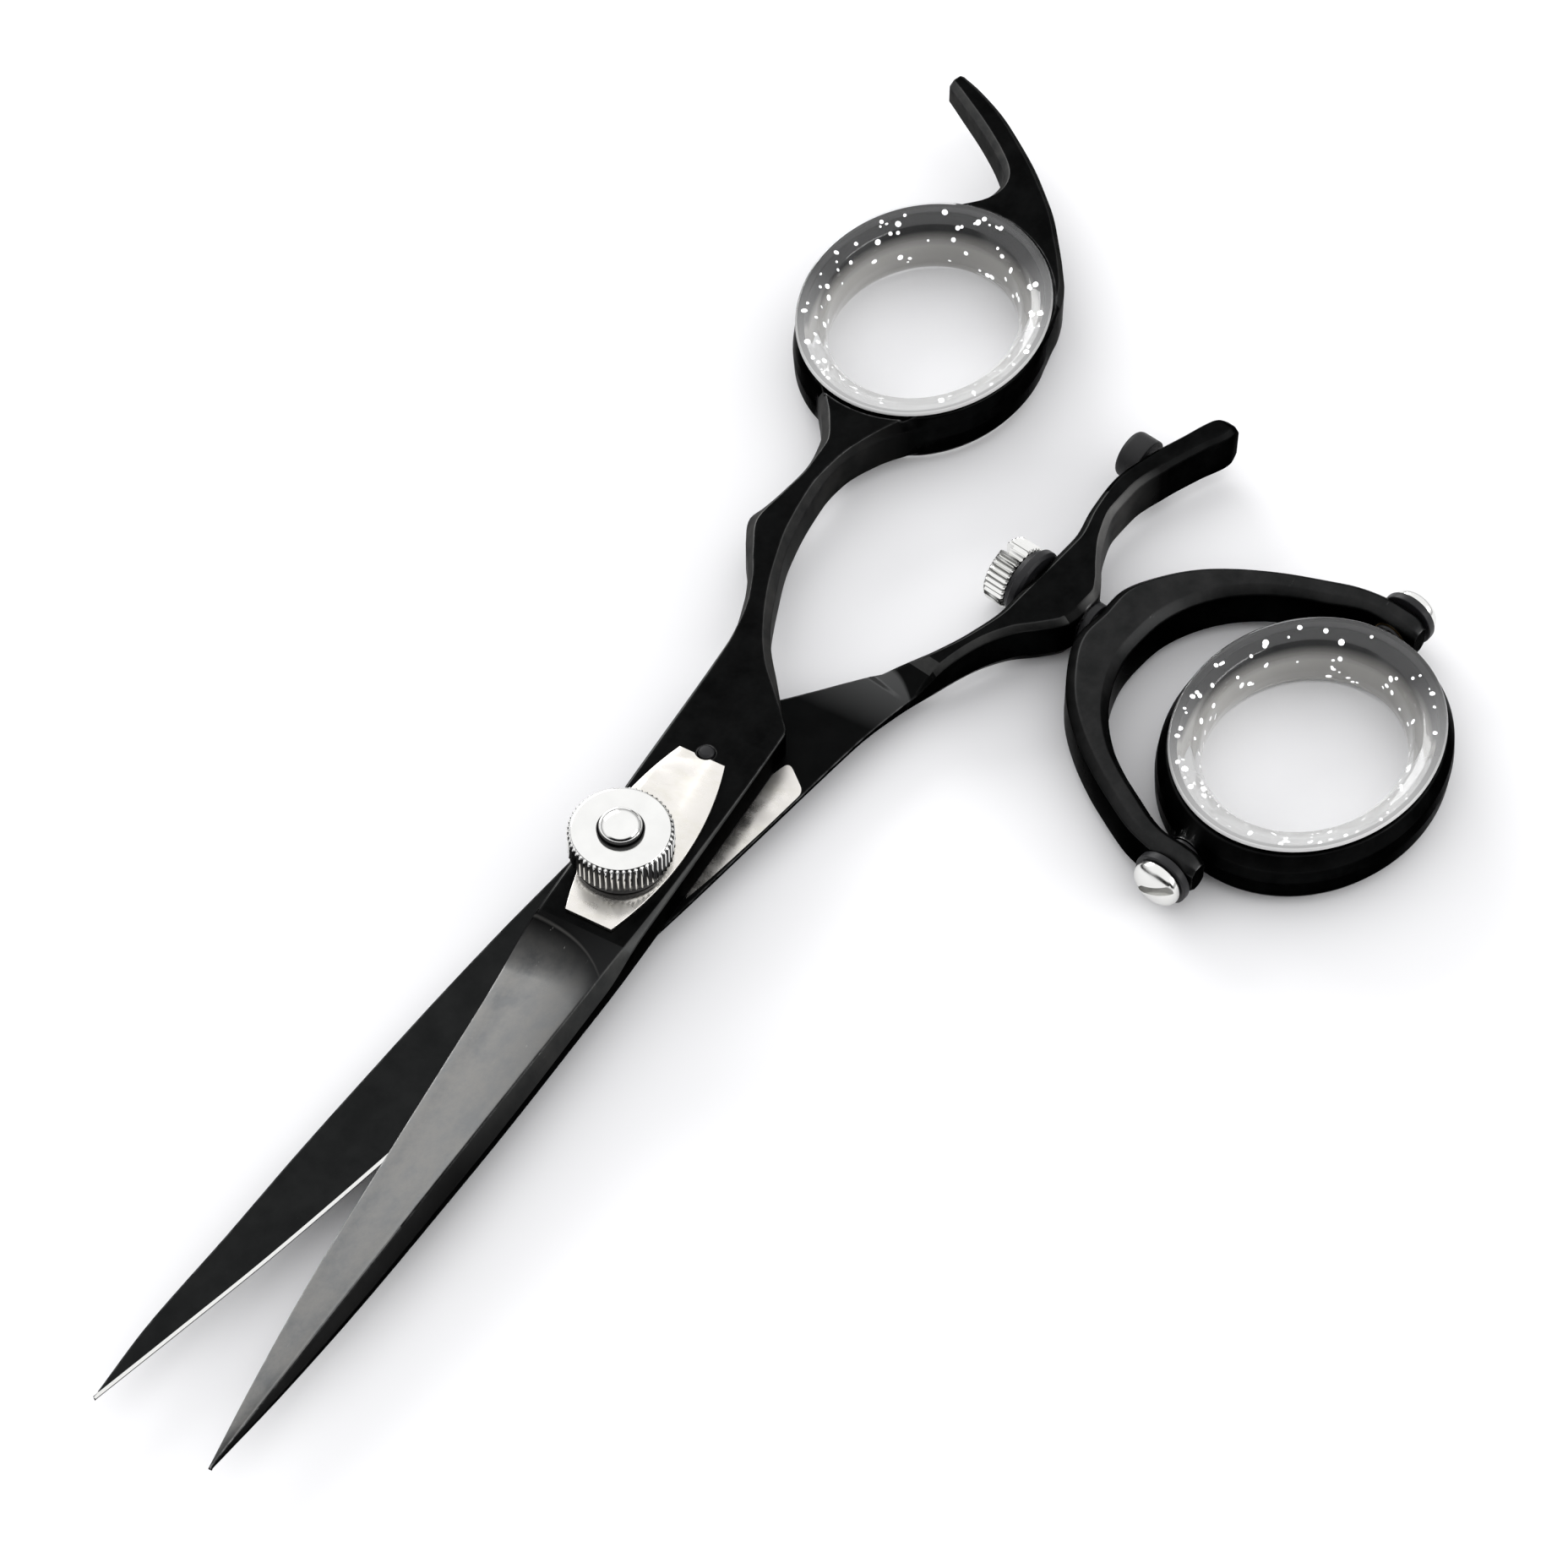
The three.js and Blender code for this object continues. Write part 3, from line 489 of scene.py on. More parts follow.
TANG = [
    ((-66.5, -5), (-65.5, 3.9), 1.2), ((-70, -8), (-69.5, 4.7), 1.2),
    ((-73.5, -9.5), (-73.4, 4.6), 1.2), ((-76.5, -11.5), (-77.4, 3.7), 1.3),
    ((-79.8, -13.2), (-80.3, 2.1), 1.6), ((-82.2, -11.0), (-83.0, 0.3), 1.7),
    ((-84.3, -8.9), (-85.8, -1.7), 1.9), ((-86.3, -8.1), (-88.0, -3.7), 2.1),
    ((-88.3, -8.5), (-90.5, -6.2), 2.3), ((-90.3, -10.3), (-93.0, -9.2), 2.6),
    ((-92.6, -13.2), (-95.3, -12.3), 2.9), ((-94.9, -16.6), (-97.2, -15.8), 3.2),
    ((-96.2, -18.6), (-98.0, -17.9), 3.5),
]


def finger_tang():
    top = HALF_TOP - 0.05
    return loft([rail_section(r[:2], r[2:4], r[4], top, 0.6, 0.25) for r in rails(TANG, 60)], "tang")


def oval(profile, segments=180, name="oval"):
    return moved(turned(profile, segments, name), scaled(1, OVAL, 1))


def ring_body(r):
    pts = [(0, RING_Z0), (r - 0.7, RING_Z0), (r - 0.15, RING_Z0 + 0.9), (r, AXIS_Z), (r - 0.15, 5.0),
           (min(r - 0.4, LIP_R - 0.2), RING_Z1), (0, RING_Z1)]
    return oval(rounded(pts, [0, 0.5, 0.8, 1.2, 0.8, 0.35, 0], 4, closed=False))


def seat_cut():
    return oval([(0, -1), (SEAT_R, -1), (SEAT_R, RING_Z1), (LIP_R, RING_Z1), (LIP_R, 9), (0, 9)])


def finger_half():
    xs = spread((TIP_X, 60, 0.6), (60, 13.5, 1.2), (13.5, 8, 0.16), (8, -17, 1.2), (-17, -60.5, 0.45))
    shank = half(FINGER_SHAPE, xs, lambda x, y, z: (x, y, INNER_UPPER + z))
    at = shift(*FINGER_RING, 0)
    ring = moved(ring_body(FINGER_RING_R), at)
    tang = finger_tang()
    keep = [shank.copy(), ring.copy(), tang.copy()]
    body = fused(shank, ring, tang)
    melt(body, keep, width=1.1, rounds=10)
    return cut(body, moved(seat_cut(), at), rod(BOLT_R + FIT, 2, 9),
               rod(BEARING_R + FIT, 2, BEARING_Z1 + FIT),
               moved(rod(PIN_R + FIT, PIN_Z0 - FIT, 9, 32), shift(PIN_X, PLATE_MID_Y, 0)))


# The polished patch of the thumb half on which the finger half rides, just proud of the coating.
RIDE_PROUD = 0.02
RIDE = [(-19.3, 3.2), (-17.5, 6.25), (-12, 6.15), (-8, 6.0), (-5, 5.85), (-2, 5.6), (-4.2, 4.4), (-7, 1.5)]


def thumb_half():
    xs = spread((TIP_X, 60, 0.6), (60, 13.5, 1.2), (13.5, 8, 0.16), (8, -17, 1.2), (-17, -73.2, 0.45),
                (-73.2, -74.4, 0.15))
    body = half(THUMB_SHAPE, xs, lambda x, y, z: (x, -y, INNER_LOWER - z))
    ride = rounded(RIDE, [0.6, 1.3, 0, 0, 0, 0, 0.3, 0], 5)
    patch = slab(ride, INNER_LOWER - 0.4, INNER_LOWER + RIDE_PROUD, "ride")
    return cut(fused(body, patch), rod(BOLT_HEAD_R + FIT, -1, BOLT_HEAD_Z + FIT), rod(BUSHING_R + FIT, -1, 5),
               rod(BEARING_R + FIT, BEARING_Z0 - FIT, 5),
               moved(rod(HUB_BORE_R, -6, 6), shift(YOKE_X, 11, AXIS_Z) @ TO_Y),
               moved(rod(STUD_R + FIT, -2.5, 2.5, 32), shift(BUMPER_X, BUMPER_Y0 + 2.2, AXIS_Z) @ TO_Y))


# ---- Pivot ----
def pivot_bolt():
    neck = DIAL_Z1 + 0.2
    pts = [(0, 0), (BOLT_HEAD_R, 0), (BOLT_HEAD_R, BOLT_HEAD_Z), (BOLT_R, BOLT_HEAD_Z),
           (BOLT_R, DIAL_Z0 - 0.3), (BOLT_END_R, DIAL_Z0 - 0.1), (BOLT_END_R, neck)]
    dome = []
    for k in range(1, 13):
        a = math.pi / 2 * k / 12
        dome.append((BOLT_END_R * math.cos(a) ** 0.85, neck + (BOLT_TOP_Z - neck) * math.sin(a)))
    dome[-1] = (0, BOLT_TOP_Z)
    body = turned(rounded(pts, [0, 0.25, 0.05, 0.05, 0.05, 0.05, 0], 3, closed=False) + dome, 96)
    socket = turned([(0, -0.2), (2.0, -0.2), (2.0, 0.7), (0, 0.7)], 6)
    return cut(body, socket)


def leaf_plate():
    end_left, end_right, half_end, bulge = -12.8, 7.3, 2.3, 1.75
    mid = (end_left + end_right) / 2
    outline = []
    for side in (-1, 1):
        a, b = (end_left, end_right) if side < 0 else (end_right, end_left)
        for k in range(25):
            t = k / 24
            x = (1 - t) ** 2 * a + 2 * t * (1 - t) * mid + t * t * b
            y = (1 - t) ** 2 * half_end + 2 * t * (1 - t) * (half_end + 2 * bulge) + t * t * half_end
            outline.append((x, PLATE_MID_Y + side * y))
    body = slab(outline, PLATE_Z0, PLATE_Z1, "plate")
    return cut(body, rod(BOLT_R + FIT, 5, 9), moved(rod(PIN_R + GAP, 5, 9, 40), shift(PIN_X, PLATE_MID_Y, 0)))


def plate_pin():
    pts = [(0, PIN_Z0), (PIN_R, PIN_Z0), (PIN_R, 7.0), (PIN_R * 0.7, 7.2), (0, 7.25)]
    return turned(rounded(pts, [0, 0.05, 0.12, 0.1, 0], 3, closed=False), 40)


def click_washer():
    return collar(BOLT_R + FIT, DIAL_R - 0.5, PLATE_Z1 + FIT, DIAL_Z0 - FIT, segments=96)


def flute(teeth, depth, per=6):
    """Outline factor of a straight knurl: rounded crests and narrow valleys."""
    out = []
    for i in range(teeth * per):
        u = (i % per) / per
        out.append((2 * math.pi * i / (teeth * per), -depth * (0.5 - 0.5 * math.cos(2 * math.pi * u)) ** 0.8))
    return out


def knurled(levels, teeth, depth):
    """A knurled drum along Z: levels are (radius at the crests, z, share of the flute depth)."""
    outline = flute(teeth, depth)
    return loft([[((r + d * share) * math.cos(a), (r + d * share) * math.sin(a), z) for a, d in outline]
                 for r, z, share in levels], "knurl")


def tension_dial():
    rim = DIAL_Z1 - 0.35
    crown_r, crown_z = DIAL_R - 0.33, rim + 0.17
    levels = [(DIAL_R - 0.4, DIAL_Z0, 0), (DIAL_R - 0.35, DIAL_Z0 + 0.08, 0),
              (DIAL_R - 0.1, DIAL_Z0 + 0.24, 0.6), (DIAL_R, DIAL_Z0 + 0.34, 1), (DIAL_R, rim - 0.1, 1),
              (DIAL_R - 0.06, rim, 0.8), (DIAL_R - 0.2, rim + 0.1, 0.25), (crown_r, crown_z, 0)]
    levels += [(crown_r - 0.62 * (1 - math.cos(a)), crown_z + 0.18 * math.sin(a), 0)
               for a in np.linspace(0.2, math.pi / 2, 7)]
    levels += [(BOLT_END_R + 0.3, DIAL_Z1, 0), (BOLT_END_R + 0.2, DIAL_Z1 - 0.04, 0)]
    return cut(knurled(levels, DIAL_TEETH, DIAL_FLUTE), rod(BOLT_END_R + FIT, 5, 15, 96))


# ---- Finger inserts ----
def insert():
    pts = [(13.5, 6.75), (13.85, 7.0), (13.7, 7.3), (12.6, 7.4), (11.4, 6.9), (10.5, 5.6), (10.2, AXIS_Z),
           (10.5, 1.7), (11.2, 0.4), (12.0, 0), (12.6, 0), (12.85, 0.25), (12.85, 6.75)]
    radii = [0.1, 0.2, 0.35, 0.8, 0.9, 1.6, 2.2, 1.6, 0.8, 0.3, 0.2, 0.1, 0.15]
    return oval(rounded(pts, radii, 5), 200, "insert")


def flakes(seed, count):
    """Small bright round flakes just under the visible skin of the clear plastic, lying along it."""
    rng = random.Random(seed)
    sides, half_thick = 8, 0.02
    skin = [(12.95, 7.28), (12.6, 7.3), (11.9, 7.05), (11.2, 6.5), (10.6, 5.6), (10.35, 4.6),
            (10.3, 3.6), (10.5, 2.4), (10.8, 1.4)]
    verts, faces = [], []
    for _ in range(count):
        a = rng.uniform(0, 2 * math.pi)
        u = (len(skin) - 1.001) * rng.random() ** 1.15
        (r0, z0), (r1, z1) = skin[int(u)], skin[int(u) + 1]
        t = u - int(u)
        along_skin = Vector((r1 - r0, z1 - z0)).normalized()
        out = Vector((along_skin.y, -along_skin.x))
        depth = rng.uniform(0.3, 0.75)
        r, z = r0 + (r1 - r0) * t - out.x * depth, z0 + (z1 - z0) * t - out.y * depth
        size = rng.choice((0.12, 0.16, 0.2, 0.24, 0.3))
        facing = Vector((out.x * math.cos(a), out.x * math.sin(a), out.y))
        facing += Vector((rng.uniform(-1, 1), rng.uniform(-1, 1), rng.uniform(-0.5, 1))) * 0.35
        turn = facing.to_track_quat("Z", "X").to_matrix()
        c = Vector((r * math.cos(a), OVAL * r * math.sin(a), z))
        base = len(verts)
        for dz in (-half_thick, half_thick):
            for k in range(sides):
                around = 2 * math.pi * k / sides
                verts.append(c + turn @ Vector((size * math.cos(around), size * math.sin(around), dz)))
        top = base + sides
        faces.append(tuple(base + k for k in reversed(range(sides))))
        faces.append(tuple(top + k for k in range(sides)))
        for k in range(sides):
            m = (k + 1) % sides
            faces.append((base + k, base + m, top + m, top + k))
    return mesh_of(verts, faces, "flakes")


# ---- Closing stop ----
def bumper():
    face, floor_y, back = BUMPER_Y0, BUMPER_Y0 + 0.7, BUMPER_Y0 + 2.4
    hole = STUD_R + FIT
    pts = [(0, face), (BUMPER_R, face), (BUMPER_R, back), (hole, back), (hole, floor_y), (0, floor_y)]
    radii = [0, 0.6, 0.15, 0.05, 0, 0]
    return moved(turned(rounded(pts, radii, 5, closed=False), 72), TO_Y)


# ---- Yoke ----
FORK = [
    ((0, 20.2), (0, YOKE_Y0), 3.3, 2.7), ((3.2, 20.45), (3.5, YOKE_Y0), 3.3, 2.7),
    ((6.2, 21.5), (6.7, 16.8), 3.3, 2.7), ((8.9, 23.2), (9.8, 19.1), 3.25, 2.65),
    ((11.2, 25.5), (12.4, 22.1), 3.2, 2.6), ((12.9, 28.1), (14.5, 25.4), 3.15, 2.55),
    ((14.3, 31.0), (16.3, 29.0), 3.0, 2.5), ((15.2, 32.9), (17.5, 31.8), 2.8, 2.5),
    ((ARM_IN, FLIP_Y - 2.1), (ARM_OUT - 0.1, FLIP_Y - 2.1), 2.6, 2.5),
    ((ARM_IN, FLIP_Y), (ARM_OUT, FLIP_Y), 2.5, 2.5),
    ((ARM_IN, FLIP_Y + 1.6), (ARM_OUT, FLIP_Y + 1.6), 2.1, 2.3),
    ((ARM_IN + 0.3, FLIP_Y + 2.5), (ARM_OUT - 0.4, FLIP_Y + 2.5), 1.2, 1.7),
]


def yoke():
    mirror = [((-i[0], i[1]), (-o[0], o[1]), b, t) for i, o, b, t in FORK[:0:-1]]
    sections = []
    for r in rails(mirror + FORK, 150):
        inner, outer = (YOKE_X + r[0], r[1]), (YOKE_X + r[2], r[3])
        sections.append(rail_section(inner, outer, AXIS_Z - r[4], AXIS_Z + r[5], 0.95, 0.45))
    body = loft(sections, "fork")
    return cut(body, moved(rod(YOKE_BORE_R, -3, 3), shift(YOKE_X, 16, AXIS_Z) @ TO_Y),
               moved(rod(ARM_BORE_R, -30, 30), shift(YOKE_X, FLIP_Y, AXIS_Z) @ TO_X))


def yoke_screw():
    y0, y1 = SCREW_HEAD_Y0, SCREW_HEAD_Y0 + SCREW_HEAD_LONG
    levels = [(SCREW_HEAD_R - 0.45, y0, 0), (SCREW_HEAD_R - 0.2, y0 + 0.08, 0.5), (SCREW_HEAD_R, y0 + 0.3, 1),
              (SCREW_HEAD_R, y1 - 0.2, 1), (SCREW_HEAD_R - 0.15, y1, 0.8)]
    head = moved(knurled(levels, SCREW_TEETH, 0.3), TO_Y)
    shaft = moved(rod(SWIVEL_R, y0 + 1.4, y0 + 14.2), TO_Y)
    slot = box(SCREW_SLOT, y0 - 0.8, y0 + 0.8, 4.5)
    return moved(cut(fused(head, shaft), slot), shift(YOKE_X, 0, AXIS_Z))


def washer(r_in, r_out, y0, y1, r=0.08):
    return moved(collar(r_in, r_out, y0, y1, r), TO_Y)


def hub_washer():
    pts = [(SWIVEL_R + FIT, 6.75), (3.05, 6.75), (3.15, 7.2), (3.5, 7.35), (3.5, 8.0), (3.2, 8.25),
           (SWIVEL_R + FIT, 8.25)]
    return moved(turned(rounded(pts, 0.12, 3), 96), shift(YOKE_X, 0, AXIS_Z) @ TO_Y)


def yoke_spacer():
    return moved(washer(SWIVEL_R + FIT, 2.0, HUB_Y1 + FIT, YOKE_Y0 - FIT), shift(YOKE_X, 0, AXIS_Z))


def on_flip_axis(me, side):
    """A mesh that points along +Y, laid outwards along the thumb ring's axis on one side."""
    return moved(me, shift(YOKE_X, FLIP_Y, AXIS_Z) @ Matrix.Rotation(-side * math.pi / 2, 4, "Z"))


def ring_screw():
    seat = ARM_OUT + WASHER_THICK + 2 * FIT
    cheek = seat + RING_SCREW_CHEEK
    top = cheek + RING_SCREW_DOME
    pts = [(0, RING_SCREW_END), (FLIP_R, RING_SCREW_END), (FLIP_R, seat), (RING_SCREW_R, seat),
           (RING_SCREW_R, cheek)]
    dome = [(RING_SCREW_R * math.cos(a), cheek + RING_SCREW_DOME * math.sin(a))
            for a in np.linspace(0.12, math.pi / 2, 12)]
    dome[-1] = (0, top)
    screw = turned(rounded(pts, [0, 0.1, 0, 0.12, 0], 3, closed=False) + dome, 72)
    slot = moved(box(RING_SCREW_SLOT, -0.7, 0.7, 3), shift(0, top, 0) @ Matrix.Rotation(SLOT_TURN, 4, "Y"))
    return cut(moved(screw, TO_Y), slot)


def thumb_ring():
    y = FLIP_Y - THUMB_RING_Y
    boss = moved(rod(BOSS_R, -BOSS_OUT, BOSS_OUT, 72), shift(0, y, AXIS_Z) @ TO_X)
    ring = ring_body(THUMB_RING_R)
    keep = [boss.copy(), ring.copy()]
    body = fused(ring, boss)
    melt(body, keep, width=0.7, rounds=6)
    hole = moved(rod(FLIP_R + FIT, -20, 20, 48), shift(0, y, AXIS_Z) @ TO_X)
    return moved(cut(body, seat_cut(), hole), shift(YOKE_X, THUMB_RING_Y, 0))


# ---- Materials ----
SMOOTH = "SMOOTHSTEP"


class Nodes:
    """A node tree, with each node's inputs set or linked in one call."""

    def __init__(self, owner, output="OutputMaterial"):
        owner.use_nodes = True
        self.owner, self.tree = owner, owner.node_tree
        self.tree.nodes.clear()
        self.out = self.tree.nodes.new("ShaderNode" + output)

    def add(self, kind, values=None, **props):
        n = self.tree.nodes.new("ShaderNode" + kind)
        for k, v in props.items():
            setattr(n, k, v)
        for k, v in (values or {}).items():
            if isinstance(v, bpy.types.NodeSocket):
                self.tree.links.new(v, n.inputs[k])
            else:
                n.inputs[k].default_value = v
        return n

    def finish(self, shader):
        self.tree.links.new(shader, self.out.inputs["Surface"])
        return self.owner

    def coords(self, sx=1.0, sy=1.0, sz=1.0):
        tc = self.add("TexCoord")
        return self.add("Mapping", {"Vector": tc.outputs["Object"], "Scale": (sx, sy, sz)}).outputs[0]

    def place(self):
        """The object's own x, y and z in millimetres."""
        return self.add("SeparateXYZ", {0: self.coords(1 / MM, 1 / MM, 1 / MM)}).outputs

    def noise(self, scale, detail=3.0, vector=None, rough=0.5):
        v = vector or self.coords()
        values = {"Vector": v, "Scale": scale, "Detail": detail, "Roughness": rough}
        return self.add("TexNoise", values).outputs[0]

    def ramp(self, fac, a, b, lo=0.3, hi=0.7, kind="LINEAR"):
        values = {"Value": fac, "From Min": lo, "From Max": hi, "To Min": a, "To Max": b}
        return self.add("MapRange", values, interpolation_type=kind).outputs[0]

    def dot(self, a, b):
        return self.add("VectorMath", {0: a, 1: b}, operation="DOT_PRODUCT").outputs["Value"]

    def blend(self, fac, a, b):
        """Colour a where fac is 0, colour b where it is 1."""
        a, b = (v if isinstance(v, bpy.types.NodeSocket) else (*v, 1) for v in (a, b))
        return self.add("Mix", {0: fac, 6: a, 7: b}, data_type="RGBA").outputs[2]

    def tint(self, fac, a, b, lo=0.3, hi=0.7):
        return self.blend(self.ramp(fac, 0.0, 1.0, lo, hi), a, b)

    def mixed(self, fac, a, b):
        return self.add("MixShader", {0: fac, 1: a.outputs[0], 2: b.outputs[0]})

    def math(self, op, a, b=0.0):
        return self.add("Math", {0: a, 1: b}, operation=op).outputs[0]

    def edges(self, radius, lo=0.02, hi=0.25):
        """1 along sharp and tightly rounded edges, 0 on open faces."""
        soft = self.add("Bevel", {"Radius": radius * MM}, samples=6)
        plain = self.add("NewGeometry")
        d = self.dot(soft.outputs[0], plain.outputs["Normal"])
        return self.ramp(self.math("SUBTRACT", 1.0, d), 0.0, 1.0, lo, hi)

    def bump(self, height, strength, distance):
        values = {"Height": height, "Strength": strength, "Distance": distance * MM}
        return self.add("Bump", values).outputs[0]


def material(name):
    return Nodes(bpy.data.materials.new(name))


def sheen_tongue(n, at, base):
    """The pale, round end of the thumb half's flat inner face: a painted sheen."""
    middle_y, tip_x, end_x, curve = 9.2, -32.0, -25.0, 0.16
    across = n.math("SUBTRACT", at[1], middle_y)
    edge = n.math("ADD", n.math("MULTIPLY", n.math("MULTIPLY", across, across), curve), tip_x)
    past = n.math("SUBTRACT", at[0], edge)
    inside = n.math("MULTIPLY", n.ramp(past, 0.0, 1.0, 0.0, 0.4), n.ramp(at[0], 1.0, 0.0, tip_x, end_x))
    return n.blend(inside, base, (0.07, 0.071, 0.071))


def ground_heel(n, at, base, heel, shadow):
    """The blade's tone from the curved line where it is hollow-ground, with a painted highlight along that
    line and painted shade towards the spine near the heel.
    """
    u = n.ramp(at[1], 0.0, 1.0, -4.6, 4.8)
    line = n.math("ADD", n.math("MULTIPLY", n.math("POWER", u, 3.0), HEEL_SWEEP), BLADE_HEEL_X + 0.2)
    past = n.math("SUBTRACT", at[0], line)
    base = n.blend(n.ramp(past, 0.0, 1.0, 0.1, 4.5), heel, base)
    # painted highlight along the line where the hollow-ground face starts
    base = n.blend(n.ramp(n.math("ABSOLUTE", past), 0.6, 0.0, 0.0, 0.16), base, (0.09, 0.088, 0.084))
    # painted shade towards the spine, fading out along the blade
    spine = n.ramp(at[1], 0.0, 1.0, -1.0, 4.5)
    return n.blend(n.math("MULTIPLY", spine, n.ramp(at[0], 0.7, 0.0, 12, 34)), base, shadow)


def coated(name, dark, light, rough=(0.30, 0.42), brushed=0.0, edge=0.16, shade=None, heel=None, window=None,
           painted_sheen=False):
    """Satin black coating on steel: mottled, brushed across where asked, thin and pale on edges, where the
    paleness is partly wear and partly a painted highlight.

    shade is painted shade, (x0, x1, factor): the tone is multiplied by the factor at x1 and beyond, in
    millimetres.
    heel is the tone before the curved line where the hollow-ground face starts.
    window is (x0, x1, x2, x3): the tone, painted light in the coatings that use it, shows from x1 to x2 and
    fades to the plain coating at x0 and x3.
    The last flag adds the pale, round end of the thumb half's flat inner face, a painted sheen."""
    n = material(name)
    cloud = n.noise(330, 6, rough=0.7)
    fine = n.noise(2600, 3)
    speck = n.noise(900, 6, rough=0.7)
    base = n.tint(cloud, dark, light, 0.36, 0.66)
    at = n.place() if shade or window or painted_sheen or heel else None
    # painted shade along x
    if shade:
        start, end, factor = shade
        k = n.ramp(at[0], 1.0, factor, start, end, SMOOTH)
        base = n.add("VectorMath", {0: base, "Scale": k}, operation="SCALE").outputs[0]
    # painted light along a stretch of x
    if window:
        rise, fall = n.ramp(at[0], 0.0, 1.0, *window[:2]), n.ramp(at[0], 1.0, 0.0, *window[2:])
        base = n.blend(n.math("MULTIPLY", rise, fall), (0.006, 0.006, 0.006), base)
    # painted sheen on the thumb half's flat inner face
    if painted_sheen:
        base = sheen_tongue(n, at, base)
    # painted highlight and painted shade round the start of the hollow-ground face
    if heel:
        base = ground_heel(n, at, base, heel, tuple(0.25 * c for c in dark))
    # pale edges: partly wear through the coating, partly a painted highlight along them
    wear_and_highlight = n.edges(0.3, 0.01, 0.14)
    chip = n.ramp(speck, 0.0, 1.0, 0.42, 0.62)
    thin = n.math("MULTIPLY", wear_and_highlight, n.math("ADD", 0.25, chip))
    base = n.blend(n.math("MULTIPLY", thin, 0.6), base, (edge, edge, edge))
    scuff = n.noise(1.0, 4, n.coords(420, 1500, 900), 0.75)
    marks = n.ramp(scuff, 0.0, 0.5, 0.69, 0.76)
    base = n.blend(marks, base, tuple(3.0 * c for c in light))
    roughness = n.math("ADD", n.ramp(cloud, rough[0], rough[1], 0.3, 0.7), n.math("MULTIPLY", thin, -0.06))
    height = fine
    if brushed:
        lines = n.noise(1.0, 2, n.coords(5200, 260, 260), 0.6)
        height = n.math("ADD", n.math("MULTIPLY", fine, 0.5), n.math("MULTIPLY", lines, brushed))
    normal = n.bump(height, 0.22, 0.006)
    b = n.add("BsdfPrincipled", {"Base Color": base, "Metallic": 1.0, "Roughness": roughness,
                                 "Normal": normal, "Specular Tint": (0.35, 0.35, 0.35, 1)})
    return n.finish(b.outputs[0])


def polished(name, tone=(0.86, 0.86, 0.84), rough=0.07, streak=(300, 300, 300), stain=0.0, marks=0.1):
    """Mirror-polished steel with faint lapping marks and a little haze."""
    n = material(name)
    lap = n.noise(1.0, 3, n.coords(*streak), 0.6)
    haze = n.noise(420, 4)
    color = n.tint(haze, tone, tuple(c * 0.93 for c in tone))
    if stain:
        spots = n.noise(1.0, 5, n.coords(700, 350, 350), 0.65)
        color = n.blend(n.ramp(spots, 0.0, stain, 0.5, 0.68), color, (0.62, 0.60, 0.48))
    r = n.math("ADD", n.ramp(haze, rough * 0.7, rough * 1.5), n.ramp(lap, 0.0, rough * 0.5))
    normal = n.bump(lap, marks, 0.004)
    b = n.add("BsdfPrincipled", {"Base Color": color, "Metallic": 1.0, "Roughness": r, "Normal": normal})
    return n.finish(b.outputs[0])


def plastic(name, tone, rough, grain, bump=0.2):
    n = material(name)
    g = n.noise(grain, 4)
    color = n.tint(n.noise(500, 4), tone, tuple(c * 1.5 for c in tone))
    b = n.add("BsdfPrincipled", {"Base Color": color, "Roughness": n.ramp(g, rough - 0.06, rough + 0.08),
                                 "IOR": 1.45, "Specular IOR Level": 0.35, "Normal": n.bump(g, bump, 0.01)})
    return n.finish(b.outputs[0])


def clear(name, far, near):
    """Soft clear plastic, a little milky; the cloudiness that grows from far to near along FRONT is painted
    light on the side towards the camera.
    """
    n = material(name)
    glass = n.add("BsdfPrincipled", {"Base Color": (0.95, 0.955, 0.955, 1), "Roughness": 0.05, "IOR": 1.12,
                                     "Transmission Weight": 1.0, "Coat Weight": 1.0, "Coat Roughness": 0.06,
                                     "Coat IOR": 1.5})
    milk_and_glow = n.add("BsdfDiffuse", {"Color": (0.74, 0.74, 0.735, 1)})
    spot = n.add("TexCoord").outputs["Generated"]
    middle = 0.5 * (FRONT[0] + FRONT[1])
    body = n.mixed(n.ramp(n.dot(spot, FRONT), far, near, middle - 0.2, middle + 0.35), glass, milk_and_glow)
    through = n.add("BsdfTransparent", {"Color": (0.88, 0.885, 0.89, 1)})
    shadow = n.add("LightPath").outputs["Is Shadow Ray"]
    return n.finish(n.mixed(shadow, body, through).outputs[0])


def backing():
    """What shows through a liner: the ring's black above, paler towards the light from below."""
    n = material("liner_backing")
    paler = n.ramp(n.place()[2], 1.0, 0.0, 2.4, 4.3)
    color = n.blend(paler, (0.004, 0.004, 0.0045), (0.36, 0.35, 0.33))
    return n.finish(n.add("BsdfPrincipled", {"Base Color": color, "Roughness": 0.5}).outputs[0])


def glowing_flake_material():
    n = material("glowing_flake")
    # painted light: the flakes glow a little as well as reflect
    b = n.add("BsdfPrincipled", {"Base Color": (0.95, 0.95, 0.96, 1), "Metallic": 0.35, "Roughness": 0.3,
                                 "Emission Color": (1, 1, 1, 1), "Emission Strength": 0.9})
    return n.finish(b.outputs[0])


COAT = coated("black_coating", (0.0035, 0.0036, 0.0036), (0.0068, 0.0070, 0.0070))
# sloping facets: a rougher finish, and a lighter tone that is a painted reflection of the side lights
COAT_FACET_LIT = coated("black_coating_facet_lit", (0.024, 0.0245, 0.0245), (0.038, 0.038, 0.037), (0.34, 0.46),
                    edge=0.25)
# tones of painted light on the sides of the shanks and tang
BAND_TONES = (0.040, 0.041, 0.041), (0.066, 0.065, 0.063)
# painted light on the chamfers
CHAMFER_LIT_TONES = (0.062, 0.063, 0.063), (0.098, 0.097, 0.094)
